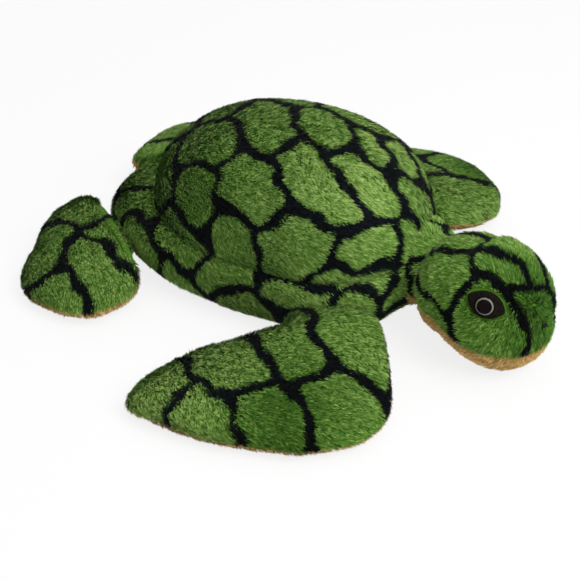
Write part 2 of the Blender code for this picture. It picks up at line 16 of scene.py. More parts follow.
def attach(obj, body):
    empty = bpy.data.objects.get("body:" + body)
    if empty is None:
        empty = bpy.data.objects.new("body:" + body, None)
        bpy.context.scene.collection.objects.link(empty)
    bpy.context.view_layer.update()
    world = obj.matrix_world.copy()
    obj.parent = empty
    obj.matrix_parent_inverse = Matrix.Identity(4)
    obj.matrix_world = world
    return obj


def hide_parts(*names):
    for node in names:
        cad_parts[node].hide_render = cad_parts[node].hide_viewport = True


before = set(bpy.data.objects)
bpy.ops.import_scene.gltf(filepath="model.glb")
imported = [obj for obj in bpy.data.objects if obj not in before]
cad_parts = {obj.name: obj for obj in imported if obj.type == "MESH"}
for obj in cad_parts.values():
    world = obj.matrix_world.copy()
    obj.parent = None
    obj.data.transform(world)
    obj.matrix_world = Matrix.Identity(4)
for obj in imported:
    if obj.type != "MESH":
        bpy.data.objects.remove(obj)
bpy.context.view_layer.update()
LOG = logging.getLogger("turtle")
Array = np.ndarray
MM = 0.001

UP = np.array((0.0, 0.0, 1.0))
FORE = np.array((0.0, -1.0, 0.0))
LEFT = np.array((1.0, 0.0, 0.0))

SKIN_INSET = 2.2 * MM
CLOTH_THICKNESS = 1.6 * MM
FLOOR_CLEARANCE = 0.3 * MM
WELD = 0.02 * MM
HIDDEN_DEPTH = 3.0 * MM


class Side(Enum):
    """The turtle's own left and right, as the sign of X."""

    LEFT = 1
    RIGHT = -1

    @property
    def word(self) -> str:
        """The side's name as the frame's nodes write it."""
        return self.name.lower()


def unit(vectors: Array) -> Array:
    """Vectors scaled to length one.

    Args:
        vectors: One vector or rows of them.

    Returns:
        The same rows at length one.
    """
    return vectors / np.maximum(np.linalg.norm(vectors, axis=-1, keepdims=True), 1e-12)


def dot(first: Array, second: Array) -> Array:
    """Row by row product of two sets of vectors, kept as a column."""
    return (first * second).sum(-1, keepdims=True)


def bowed(value: Array, power: float) -> Array:
    """A power that keeps the sign."""
    return np.sign(value) * np.abs(value) ** power


def turned(vectors: Array, axis: Array, angle: Array | float) -> Array:
    """Vectors turned about a direction.

    Args:
        vectors: Rows of vectors.
        axis: One direction, or one for each row.
        angle: The turn in radians, or one for each row.

    Returns:
        The turned rows.
    """
    cosine = np.cos(angle)
    sine = np.sin(angle)
    if np.ndim(angle):
        cosine = cosine[:, None]
        sine = sine[:, None]
    return vectors * cosine + np.cross(axis, vectors) * sine + axis * dot(vectors, axis) * (1 - cosine)


@dataclass(frozen=True)
class Ripples:
    """A smooth uneven field over space, made of plane waves that cross one another."""

    length: float
    seed: int
    waves: int = 9
    pitches: tuple[float, float] = (0.7, 1.5)

    def at(self, points: Array) -> Array:
        """The field's value at each point.

        Args:
            points: Rows of places in metres.

        Returns:
            One value for each row, about nought, with a spread of about one.
        """
        rng = np.random.default_rng(self.seed)
        ways = unit(rng.normal(size=(self.waves, 3)))
        pitch = math.tau / self.length * rng.uniform(*self.pitches, self.waves)
        phase = rng.uniform(0.0, math.tau, self.waves)
        crests = np.cos(points @ (ways * pitch[:, None]).T + phase)
        return crests.sum(1) * math.sqrt(2.0 / self.waves)


# --- Forms -------------------------------------------------------------------------------------


# Which of a level's four numbers are sizes: all but its height.
GROWS = np.array((False, True, True, True))


@dataclass(frozen=True)
class Level:
    """One outline of the body, seen from above, at its own height."""

    height: float
    half_width: float
    front: float
    rear: float

    def row(self) -> Array:
        """The four sizes as a row."""
        return np.array((self.height, self.half_width, self.front, self.rear))


@dataclass(frozen=True)
class BodyForm:
    """The stuffed body: belly, roll round the sides, and the dome of the shell."""

    inset: float = SKIN_INSET
    belly_seam: Level = Level(9 * MM, 84 * MM, 99 * MM, 148 * MM)
    roll: Level = Level(32 * MM, 97 * MM, 113 * MM, 178 * MM)
    shell_seam: Level = Level(55 * MM, 91 * MM, 111 * MM, 131 * MM)
    belly_tuck: float = 15 * MM
    rise: float = 88 * MM
    outline_power: float = 0.88
    dome_power: float = 0.91
    crease: float = 3.2 * MM
    crease_reach: float = 5.0 * MM
    lump: float = 0.9 * MM
    lumps: Ripples = Ripples(60 * MM, 3)

    def drawn(self, level: Level) -> Array:
        """A level's row, drawn in to the cloth's face."""
        return level.row() - GROWS * self.inset

    def ring(self, turn: Array, rows: Array) -> Array:
        """Places round the outlines.

        Args:
            turn: Angles from the front towards the turtle's left.
            rows: One level's row for each angle.

        Returns:
            Rows of places.
        """
        height, half_width, front, rear = rows.T
        reach = np.where(np.cos(turn) > 0.0, front, rear)
        across = half_width * bowed(np.sin(turn), self.outline_power)
        along = -reach * bowed(np.cos(turn), self.outline_power)
        places = np.stack((across, along, height), -1)
        outward = unit(places * np.array((1.0, 1.0, 0.0)) + UP * 1e-6)
        from_crease = (height - self.shell_seam.height) / self.crease_reach
        pull = self.crease * np.exp(-(from_crease**2)) - self.lump * self.lumps.at(places)
        return places - outward * np.minimum(pull, half_width)[:, None]

    @staticmethod
    def curved(start: Array, end: Array, sine: Array, cosine: Array) -> Array:
        """Rows on a quarter of an ellipse that leaves one level outward and meets another upward."""
        return start + (end - start) * np.where(GROWS, sine, 1.0 - cosine)

    def belly_rows(self, share: Array) -> Array:
        """Levels from the middle of the underside out over the flat and up to the belly seam."""
        seam = self.drawn(self.belly_seam)
        flat = seam - GROWS * self.belly_tuck
        flat[0] = self.inset
        lean = np.clip(share[:, None] * 2.0 - 1.0, 0.0, 1.0) * math.pi / 2
        rows = self.curved(flat, seam, np.sin(lean), np.cos(lean))
        return rows * np.where(GROWS, np.clip(share[:, None] * 2.0, 0.0, 1.0), 1.0)

    def side_rows(self, share: Array) -> Array:
        """Levels from the belly seam round the roll up to the shell seam."""
        low, roll, high = (self.drawn(level) for level in (self.belly_seam, self.roll, self.shell_seam))
        share = share[:, None]
        lean = (share * 2.0 % 1.0 + (share == 1.0)) * math.pi / 2
        sine, cosine = np.sin(lean), np.cos(lean)
        rising = self.curved(low, roll, sine, cosine)
        closing = self.curved(high, roll, cosine, sine)
        return np.where(share < 0.5, rising, closing)

    def dome_rows(self, share: Array) -> Array:
        """Levels from the shell seam up to the top."""
        seam = self.drawn(self.shell_seam)
        lean = share * math.pi / 2
        spread = bowed(np.cos(lean), self.dome_power)
        rows = seam * spread[:, None]
        rows[:, 0] = seam[0] + (self.rise - self.inset) * bowed(np.sin(lean), self.dome_power)
        return rows

    def middle(self, points: Array) -> Array:
        """A place inside the form for each place on it, to tell outside from inside."""
        core = points * np.array((0.0, 0.3, 0.0))
        core[:, 2] = self.shell_seam.height
        return core

    def depth(self, points: Array) -> Array:
        """How far inside the form each point lies, negative outside.

        Args:
            points: Rows of places in metres.

        Returns:
            About the distance to the nearest side, level with each point.
        """
        share = np.linspace(0.0, 1.0, 60)
        belly = self.belly_rows(np.linspace(0.5, 1.0, 30))
        rows = np.concatenate((belly, self.side_rows(share), self.dome_rows(share)))
        half_width, front, rear = (
            np.interp(points[:, 2], rows[:, 0], column) for column in rows[:, 1:].T
        )
        reach = np.where(points[:, 1] < 0.0, front, rear)
        power = 2.0 / self.outline_power
        width = np.maximum(half_width, MM)
        length = np.maximum(reach, MM)
        share_out = np.abs(points[:, 0] / width) ** power + np.abs(points[:, 1] / length) ** power
        inside = (1.0 - share_out ** (1.0 / power)) * np.minimum(width, length)
        return np.where(points[:, 2] > rows[-1, 0], rows[-1, 0] - points[:, 2], inside)


@dataclass(frozen=True)
class Ball:
    """A spheroid about a joint's axis: the hidden end of a limb."""

    centre: Array
    axis: Array
    half_length: float
    radius: float

    def depth(self, points: Array) -> Array:
        """About how far inside the ball each point lies, negative outside."""
        aside = points - self.centre
        along = aside @ self.axis
        out = np.sqrt(np.maximum((aside**2).sum(1) - along**2, 0.0))
        share = np.sqrt((along / self.half_length) ** 2 + (out / self.radius) ** 2)
        return (1.0 - share) * self.radius


@dataclass(frozen=True)
class Section:
    """One cross-section of a limb, with its own depth above and below its widest line."""

    centre: Array
    across: Array
    half_width: float
    half_up: float
    half_down: float

    def row(self) -> Array:
        """Centre, direction across, and the squares of the three half sizes."""
        squares = np.array((self.half_width, self.half_up, self.half_down)) ** 2
        return np.concatenate((self.centre, self.across, squares))


def rounded_back(
    axis: Array, backward: Array, across: Array, half_width: float, radius: float, half_height: float
) -> list[Section]:
    """Sections of a half spheroid, from its pole up to the joint's axis.

    Args:
        axis: A place on the joint's axis.
        backward: The direction towards the pole.
        across: The direction of the sections' width.
        half_width: Half the width at the axis.
        radius: How far the pole lies behind the axis.
        half_height: Half the height at the axis.

    Returns:
        The sections, the pole first.
    """
    sections = []
    for lean in np.linspace(math.pi / 2, 0.0, 7):
        size = max(math.cos(lean), 0.0)
        centre = axis + backward * (radius * math.sin(lean))
        sections.append(Section(centre, across, half_width * size, half_height * size, half_height * size))
    return sections


class Limb:
    """A stuffed form lofted smoothly through its sections, from its root to its end."""

    pinched_from: float = 8 * MM
    swollen_from: float = 12 * MM
    least_reach: float = 4 * MM
    steps: int = 24

    def __init__(self, sections: list[Section], lumps: Ripples, lump: float) -> None:
        """Keeps the sections as knots of a smooth curve.

        Args:
            sections: From the root's pole to the far pole.
            lumps: Where the stuffing swells and sinks.
            lump: How much it does.
        """
        self.rows = np.array([section.row() for section in sections])
        steps = np.linalg.norm(np.diff(self.rows[:, :3], axis=0), axis=1)
        self.knots = np.concatenate(([0.0], np.cumsum(steps)))
        self.length = self.knots[-1]
        self.knots /= self.length
        self.slopes = self.slopes_at_knots()
        self.lumps = lumps
        self.lump = lump

    def slopes_at_knots(self) -> Array:
        """Slopes at each knot: even for places, held back for sizes so that none overshoots."""
        gap = np.diff(self.knots)[:, None]
        rate = np.diff(self.rows, axis=0) / gap
        before, after = gap[:-1], gap[1:]
        even = (after * rate[:-1] + before * rate[1:]) / (before + after)
        safe = rate[:-1] * rate[1:] > 0.0
        first = np.where(safe, rate[:-1], 1.0)
        second = np.where(safe, rate[1:], 1.0)
        heavy, light = 2.0 * after + before, after + 2.0 * before
        held = np.where(safe, (heavy + light) / (heavy / first + light / second), 0.0)
        inner = np.where(np.arange(self.rows.shape[1]) < 6, even, held)
        return np.concatenate((rate[:1], inner, rate[-1:]))

    def at(self, share: Array) -> tuple[Array, Array, Array]:
        """The section at a share of the limb's length.

        Args:
            share: Nought at the root's pole, one at the far pole.

        Returns:
            Centres, directions across, and rows of half width, half up and half down.
        """
        index = np.clip(np.searchsorted(self.knots, share, side="right") - 1, 0, len(self.knots) - 2)
        gap = self.knots[index + 1] - self.knots[index]
        part = ((share - self.knots[index]) / gap)[:, None]
        gap = gap[:, None]
        near, far = self.rows[index], self.rows[index + 1]
        rows = (
            near * (1 + 2 * part) * (1 - part) ** 2
            + self.slopes[index] * gap * part * (1 - part) ** 2
            + far * part**2 * (3 - 2 * part)
            + self.slopes[index + 1] * gap * part**2 * (part - 1)
        )
        return rows[:, :3], unit(rows[:, 3:6]), np.sqrt(np.maximum(rows[:, 6:], 0.0))

    def depth(self, points: Array) -> Array:
        """How far inside the limb each point lies, negative outside.

        Args:
            points: Rows of places in metres.

        Returns:
            About the distance to the form's side.
        """
        centres, across, sizes = self.at(np.linspace(0.02, 0.98, self.steps * 2 + 1))
        nearest = ((points[:, None] - centres[None]) ** 2).sum(-1).argmin(1)
        aside = points - centres[nearest]
        out = (aside * across[nearest]).sum(1) / np.maximum(sizes[nearest, 0], MM)
        high = aside[:, 2] / np.maximum(np.where(aside[:, 2] > 0, sizes[nearest, 1], sizes[nearest, 2]), MM)
        ahead = np.abs((aside * np.cross(across[nearest], UP)).sum(1)) > self.length / self.steps
        inside = (1.0 - np.sqrt(out**2 + high**2)) * np.minimum(sizes[nearest, 0], sizes[nearest, 1])
        return np.where(ahead, -1.0, inside)

    def place(self, share: Array, angle: Array, seam: float, pinch: float, pinch_reach: float) -> Array:
        """Places on the form.

        Args:
            share: Along the limb.
            angle: Round the section, from its near edge over the top.
            seam: The angle of the seams where two cloths meet.
            pinch: How far the seam draws the cloth in.
            pinch_reach: How far from the seam it still does.

        Returns:
            Rows of places.
        """
        centre, across, sizes = self.at(share)
        rise = np.where(np.sin(angle) > 0.0, sizes[:, 1], sizes[:, 2])
        spoke = across * (sizes[:, :1] * np.cos(angle)[:, None])
        spoke += UP * (rise * np.sin(angle))[:, None]
        to_seam = np.minimum(
            np.abs((angle - seam + math.pi) % math.tau - math.pi),
            np.abs((angle + seam) % math.tau - math.pi),
        )
        thickness = np.minimum(sizes[:, 1], sizes[:, 2]) + MM
        drawn = pinch * np.exp(-((to_seam * rise / pinch_reach) ** 2))
        drawn *= np.clip(thickness / self.pinched_from, 0.0, 1.0)
        swell = self.lump * self.lumps.at(centre + spoke)
        swell = swell * np.clip(thickness / self.swollen_from, 0.0, 1.0)
        reach = np.linalg.norm(spoke, axis=1)
        share_kept = 1.0 + (swell - drawn) / np.maximum(reach, self.least_reach)
        return centre + spoke * share_kept[:, None]


# --- Print -------------------------------------------------------------------------------------


@dataclass(frozen=True)
class NetPrint:
    """A net of dark lines between rounded cells, each grown about a short core with two ends."""

    cells: Array
    half_line: float = 3.9 * MM
    corner: float = 1.8 * MM
    waver: float = 1.3 * MM
    waver_length: float = 24 * MM
    swell: float = 0.13
    swell_length: float = 34 * MM
    seed: int = 11

    def from_line(self, points: Array) -> Array:
        """How far each point lies from the edge of the nearest line, negative on the line.

        Args:
            points: Rows of places in metres.

        Returns:
            One distance for each row.
        """
        wavering = np.stack(
            [Ripples(self.waver_length, self.seed + axis).at(points) for axis in range(3)], -1
        )
        moved = (points + wavering * self.waver)[:, None]
        start, core = self.cells[:, 0], self.cells[:, 1] - self.cells[:, 0]
        share = ((moved - start) * core).sum(-1) / np.maximum((core**2).sum(-1), 1e-12)
        closest = start + core * np.clip(share, 0.0, 1.0)[..., None]
        square = ((moved - closest) ** 2).sum(-1)
        rows = np.arange(len(points))
        nearest = square.argmin(1)
        own = square[rows, nearest]
        apart = np.linalg.norm(closest - closest[rows, nearest][:, None], axis=-1)
        border = (square - own[:, None]) / (2.0 * np.maximum(apart, MM))
        border[rows, nearest] = 1.0
        least = border.min(1)
        soft = np.exp(-(border - least[:, None]) / self.corner).sum(1)
        rounded = least - self.corner * np.log(soft)
        swell = self.swell * Ripples(self.swell_length, self.seed + 5).at(points)
        return rounded - self.half_line * (1.0 + swell)


def cores(
    cells: tuple[tuple[float, ...], ...], place: Callable[[Array], Array], size: int = 2
) -> Array:
    """Both ends of each cell's core.

    Args:
        cells: A row for each cell: one place, or two where the cell is long.
        place: Turns rows of numbers into places in metres.
        size: How many numbers stand for one place.

    Returns:
        A pair of places for each cell.
    """
    starts = place(np.array([cell[:size] for cell in cells], float))
    ends = place(np.array([cell[-size:] for cell in cells], float))
    return np.stack((starts, ends), 1)


class NoPrint:
    """Plain cloth, with no lines on it."""

    def from_line(self, points: Array) -> Array:
        """Everywhere is far from a line."""
        return np.full(len(points), 1.0)


# --- Cloth and pile ----------------------------------------------------------------------------


@dataclass
class Patch:
    """A stretch of cloth laid over a form, with two shares of its own, along and across."""

    place: Callable[[Array, Array], Array]
    middle: Callable[[Array, Array], Array]
    flow: Callable[["Patch", Array, Array, Array], Array]
    ink: NetPrint | NoPrint
    pattern: Callable[[Array, Array], Array] | None = None
    hidden: Callable[[Array], Array] | None = None
    trim: Callable[[Array], Array] | None = None
    step: float = 2e-4

    def slopes(self, along: Array, across: Array) -> tuple[Array, Array]:
        """How a place moves with each share."""
        low, high = np.clip(along - self.step, 0, 1), np.clip(along + self.step, 0, 1)
        with_along = (self.place(high, across) - self.place(low, across)) / (high - low)[:, None]
        low, high = np.clip(across - self.step, 0, 1), np.clip(across + self.step, 0, 1)
        with_across = (self.place(along, high) - self.place(along, low)) / (high - low)[:, None]
        return with_along, with_across

    def normals(self, along: Array, across: Array) -> Array:
        """Directions out of the cloth's face."""
        normals = unit(np.cross(*self.slopes(along, across)))
        outward = self.place(along, across) - self.middle(along, across)
        return normals if (normals * outward).sum() > 0.0 else -normals

    def stepped(self, along: Array, across: Array, step: Array) -> tuple[Array, Array]:
        """The shares of places a short step away over the cloth."""
        with_along, with_across = self.slopes(along, across)
        along_step = dot(step, with_along) / np.maximum(dot(with_along, with_along), 1e-9)
        across_step = dot(step, with_across) / np.maximum(dot(with_across, with_across), 1e-9)
        return np.clip(along + along_step[:, 0], 0, 1), np.clip(across + across_step[:, 0], 0, 1)

    def prints(self, along: Array, across: Array) -> Array:
        """How far each place lies from a printed line."""
        return self.ink.from_line((self.pattern or self.place)(along, across))

    def scatter(self, density: float, rng: np.random.Generator, steps: int = 90) -> tuple[Array, Array]:
        """Shares of places strewn evenly over the cloth.

        Args:
            density: Places for each square metre.
            rng: The source of chance.
            steps: How finely the area is measured each way.

        Returns:
            The two shares of each place.
        """
        ticks = (np.arange(steps) + 0.5) / steps
        along, across = (grid.ravel() for grid in np.meshgrid(ticks, ticks, indexing="ij"))
        area = np.linalg.norm(np.cross(*self.slopes(along, across)), axis=1) / steps**2
        count = int(area.sum() * density)
        chosen = rng.choice(len(area), count, p=area / area.sum())
        jitter = (rng.random((2, count)) - 0.5) / steps
        return np.clip(along[chosen] + jitter[0], 0, 1), np.clip(across[chosen] + jitter[1], 0, 1)


def new_object(name: str, mesh: bpy.types.Mesh, finish: bpy.types.Material) -> bpy.types.Object:
    """An object at the origin that wears one finish.

    Args:
        name: The piece's name.
        mesh: Its mesh, already in place.
        finish: Its material.

    Returns:
        The linked object.
    """
    mesh.materials.append(finish)
    thing = bpy.data.objects.new(name, mesh)
    bpy.context.scene.collection.objects.link(thing)
    return thing


def mesh_of(name: str, shape: bmesh.types.BMesh, smooth: bool = True) -> bpy.types.Mesh:
    """A mesh from a finished bmesh, which is freed."""
    mesh = bpy.data.meshes.new(name)
    shape.to_mesh(mesh)
    shape.free()
    if smooth:
        mesh.shade_smooth()
    return mesh


def thicken(thing: bpy.types.Object, thickness: float) -> None:
    """Gives an open sheet a thickness on its inner side."""
    wall = thing.modifiers.new("thickness", "SOLIDIFY")
    wall.thickness = thickness
    wall.offset = -1.0


@dataclass(frozen=True)
class Cloth:
    """Woven backing: one smooth sheet over a patch, welded where it closes, with a real thickness."""

    columns: int
    rows: int

    def lay(self, name: str, patch: Patch, finish: bpy.types.Material) -> bpy.types.Object:
        """Lays the sheet over a patch.

        Args:
            name: The piece's name.
            patch: What it covers.
            finish: Its material.

        Returns:
            The cloth, closed by its thickness.
        """
        shape = bmesh.new()
        bmesh.ops.create_grid(shape, x_segments=self.columns, y_segments=self.rows, size=0.5)
        shares = np.array([vert.co for vert in shape.verts])[:, :2] + 0.5
        along, across = np.clip(shares.T, 0.0, 1.0)
        places = patch.place(along, across)
        inks = patch.prints(along, across)
        layer = shape.verts.layers.float.new("line")
        for vert, point, ink in zip(shape.verts, places, inks, strict=True):
            vert.co = point
            vert[layer] = ink
        bmesh.ops.remove_doubles(shape, verts=shape.verts, dist=WELD)
        bmesh.ops.dissolve_degenerate(shape, dist=WELD, edges=shape.edges)
        shape.normal_update()
        normals = np.array([face.normal * face.calc_area() for face in shape.faces])
        centres = np.array([face.calc_center_median() for face in shape.faces])
        wanted = patch.middle(along, across).mean(0)
        if (normals * (centres - wanted)).sum() < 0.0:
            bmesh.ops.reverse_faces(shape, faces=shape.faces)
        thing = new_object(name, mesh_of(name, shape), finish)
        thicken(thing, CLOTH_THICKNESS)
        return thing


def blade_shape() -> tuple[Array, list[tuple[int, ...]]]:
    """One tuft of pile, flat and tapered, as wide and as long as one.

    Returns:
        Its points, with X across and Y from root to tip, and its faces.
    """
    shape = bmesh.new()
    bmesh.ops.create_grid(shape, x_segments=1, y_segments=2, size=0.5)
    bmesh.ops.translate(shape, verts=shape.verts, vec=(0.0, 0.5, 0.0))
    tip = [vert for vert in shape.verts if vert.co.y > 0.9]
    bmesh.ops.pointmerge(shape, verts=tip, merge_co=(0.0, 1.0, 0.0))
    shape.verts.index_update()
    points = np.array([vert.co for vert in shape.verts])
    faces = [tuple(vert.index for vert in face.verts) for face in shape.faces]
    shape.free()
    return points, faces


@dataclass(frozen=True)
class PaintedLightAndShade:
    """Painted light and shade on the pile: rows of a place and a reach in millimetres, and an amount, lighter
    above nought and darker below.
    """

    spots: tuple[tuple[float, ...], ...]

    def at(self, points: Array) -> Array:
        """How much lighter or darker each place is painted, the same on both flanks."""
        rows = np.array(self.spots)
        flank = np.stack((-np.abs(points[:, 0]), points[:, 1], points[:, 2]), -1)
        away = np.linalg.norm(flank[:, None] - rows[:, :3] * MM, axis=-1) / (rows[:, 3] * MM)
        return (rows[:, 4] * np.exp(-(away**2))).sum(1)


# Spots of painted light and shade: negative amounts paint shade (nose, cheek, front flipper), positive ones
# paint light (shell top, rump).
PAINTED_LIGHT_AND_SHADE_SPOTS = PaintedLightAndShade(
    (
        (-41, -219, 64, 30, -2.4), (-43, -185, 95, 28, -0.4), (-77, -179, 50, 30, -0.5),
        (-50, -142, 80, 25, -0.4), (-197, -86, 27, 38, -1.8), (-174, -27, 34, 35, 0.4),
        (-212, 15, 27, 35, 1.2), (-29, -66, 125, 35, 1.0), (-73, 63, 97, 35, -0.5),
        (-92, -45, 46, 30, 0.4),
    )
)


@dataclass(frozen=True)
class Pile:
    """Short pile: leaning tufts that follow the cloth's nap."""

    length: float = 5.2 * MM
    width: float = 0.66 * MM
    density: float = 2.0e6
    root_lean: float = math.radians(30)
    tip_lean: float = math.radians(70)
    sunk: float = 0.9 * MM
    seed: int = 1
    fuzz: float = 0.8 * MM
    printed_share: float = 0.6
    # How much of the painted light and shade the pile takes.
    painted_light_share: float = 1.0
    most: int = 62000
    lock: float = 7 * MM
    fine: float = 3.2 * MM
    broad: float = 70 * MM
    lean_lock: float = 9 * MM
    yaws: tuple[float, float, float, float] = (0.09, 0.09, 0.20, 0.13)
    leans: tuple[float, float, float] = (0.05, 0.07, 0.07)
    lengths: tuple[float, float] = (0.07, 0.12)
    tints: tuple[float, float, float] = (0.75, 0.25, 0.20)
    roll: float = 0.35
    widths: float = 0.2
    line_fade: float = 0.5 * MM
    face_share: float = 0.55

    def tufts(self, patch: Patch, rng: np.random.Generator) -> dict[str, Array]:
        """Roots of the tufts, with everything that shapes and colours them.

        Args:
            patch: The cloth they stand on.
            rng: The source of chance.

        Returns:
            Arrays with a row for each tuft.
        """
        along, across = patch.scatter(self.density, rng)
        roots = patch.place(along, across)
        if patch.hidden:
            keep = ~patch.hidden(roots)
            along, across, roots = along[keep], across[keep], roots[keep]
        normals = patch.normals(along, across)
        flow = patch.flow(patch, along, across, normals)
        flow = unit(flow - normals * dot(flow, normals))
        count = len(roots)
        locks, fine, broad, leaning = (
            Ripples(size, self.seed + 20 + 10 * index).at(roots)
            for index, size in enumerate((self.lock, self.fine, self.broad, self.lean_lock))
        )
        yaw = self.yaws[0] * locks + self.yaws[1] * fine + self.yaws[2] * broad
        yaw += self.yaws[3] * rng.normal(size=count)
        lean = self.leans[0] * fine + self.leans[1] * leaning + self.leans[2] * rng.normal(size=count)
        length = self.length * (1.0 + self.lengths[0] * fine + self.lengths[1] * rng.normal(size=count))
        if patch.trim:
            length = length * patch.trim(roots)
        reach = flow * (length * self.printed_share)[:, None]
        line = patch.prints(*patch.stepped(along, across, reach)) + self.fuzz * rng.normal(size=count)
        tint = self.tints[0] * rng.normal(size=count) + self.tints[1] * fine + self.tints[2] * locks
        # Painted light and shade, added to each tuft's tint.
        tint += self.painted_light_share * PAINTED_LIGHT_AND_SHADE_SPOTS.at(roots)
        return {
            "root": roots,
            "normal": normals,
            "flow": turned(flow, normals, yaw),
            "lean": lean,
            "length": np.clip(length, 0.3 * MM, None),
            "ink": np.clip(0.5 - line / self.line_fade, 0.0, 1.0),
            "tint": tint,
            "roll": self.roll * rng.normal(size=count),
            "width": self.width * (1.0 + self.widths * rng.normal(size=count)).clip(0.5, 1.6),
        }

    def grow(self, name: str, patch: Patch, finish: bpy.types.Material) -> list[bpy.types.Object]:
        """Grows the pile of one patch, in as many pieces as its size asks for.

        Args:
            name: The pieces' name, numbered where there are several.
            patch: The cloth it stands on.
            finish: Its material.

        Returns:
            The pieces.
        """
        tufts = self.tufts(patch, np.random.default_rng(self.seed))
        count = len(tufts["root"])
        parts = max(1, math.ceil(count / self.most))
        order = np.argsort(tufts["root"][:, 1], kind="stable") if parts > 1 else np.arange(count)
        pieces = []
        for index, chosen in enumerate(np.array_split(order, parts)):
            label = name if parts == 1 else f"{name}_{index + 1}"
            own = {key: values[chosen] for key, values in tufts.items()}
            pieces.append(self.piece(label, own, finish))
        return pieces

    def piece(self, name: str, tufts: dict[str, Array], finish: bpy.types.Material) -> bpy.types.Object:
        """One mesh of tufts.

        Args:
            name: The piece's name.
            tufts: Arrays with a row for each tuft.
            finish: Its material.

        Returns:
            The object.
        """
        points, faces = blade_shape()
        normal, flow = tufts["normal"], tufts["flow"]
        beside = unit(np.cross(flow, normal))
        count = len(normal)
        half = (tufts["length"] / 2)[:, None]
        leans = ((lean + tufts["lean"])[:, None] for lean in (self.root_lean, self.tip_lean))
        low, high = (normal * np.cos(lean) + flow * np.sin(lean) for lean in leans)
        spine = {0.0: -normal * self.sunk, 0.5: low * half, 1.0: low * half + high * half}
        roll = tufts["roll"][:, None]
        ways = {0.0: low, 0.5: unit(low + high), 1.0: high}
        places, normals = [], []
        for across, rise, _ in points:
            key = round(rise * 2) / 2
            face = unit(np.cross(beside, ways[key]))
            face = np.where(dot(face, normal) < 0.0, -face, face)
            side = unit(beside * np.cos(roll) + face * np.sin(roll))
            place = tufts["root"] + spine[key] + side * (across * (key < 1.0) * tufts["width"][:, None])
            place[:, 2] = np.maximum(place[:, 2], FLOOR_CLEARANCE)
            places.append(place)
            normals.append(unit(normal * (1.0 - self.face_share) + face * self.face_share))
        mesh = bpy.data.meshes.new(name)
        size = len(points)
        mesh.vertices.add(count * size)
        mesh.vertices.foreach_set("co", np.stack(places, 1).astype(np.float32).ravel())
        corners = np.concatenate(faces)
        starts = np.cumsum([0] + [len(face) for face in faces[:-1]])
        loops = (np.arange(count)[:, None] * size + corners).ravel()
        mesh.loops.add(len(loops))
        mesh.loops.foreach_set("vertex_index", loops.astype(np.int32))
        mesh.polygons.add(count * len(faces))
        first = (np.arange(count)[:, None] * len(corners) + starts).ravel()
        mesh.polygons.foreach_set("loop_start", first.astype(np.int32))
        mesh.update(calc_edges=True)
        marks = {"rise": np.tile(points[:, 1], count)}
        marks |= {label: np.repeat(tufts[label], size) for label in ("tint", "ink")}
        for label, values in marks.items():
            attribute = mesh.attributes.new(label, "FLOAT", "POINT")
            attribute.data.foreach_set("value", values.astype(np.float32))
        self.lay_out(mesh, points, corners, count)
        mesh.shade_smooth()
        out = np.stack(normals, 1).reshape(-1, 3)
        mesh.normals_split_custom_set_from_vertices(out.astype(np.float32))
        return new_object(name, mesh, finish)

    def lay_out(self, mesh: bpy.types.Mesh, points: Array, corners: Array, count: int) -> None:
        """Gives each tuft its own little place in a map, for a bake of its colours.

        Args:
            mesh: The tufts.
            points: One tuft's points.
            corners: The points at one tuft's corners.
            count: How many tufts there are.
        """
        side = math.ceil(math.sqrt(count))
        number = np.arange(count)
        cell = np.stack((number % side, number // side), -1)[:, None, :]
        inner = points[corners, :2] * np.array((0.7, 0.8)) + np.array((0.5, 0.1))
        layer = mesh.uv_layers.new(name="OFBake")
        layer.data.foreach_set("uv", ((cell + inner) / side).astype(np.float32).ravel())


# --- Finishes ----------------------------------------------------------------------------------

Colour = tuple[float, float, float]


def linear(red: int, green: int, blue: int) -> Colour:
    """A colour as light from its values on a screen, out of 255."""
    shares = (value / 255 for value in (red, green, blue))
    return tuple(
        share / 12.92 if share <= 0.04045 else ((share + 0.055) / 1.055) ** 2.4 for share in shares
    )


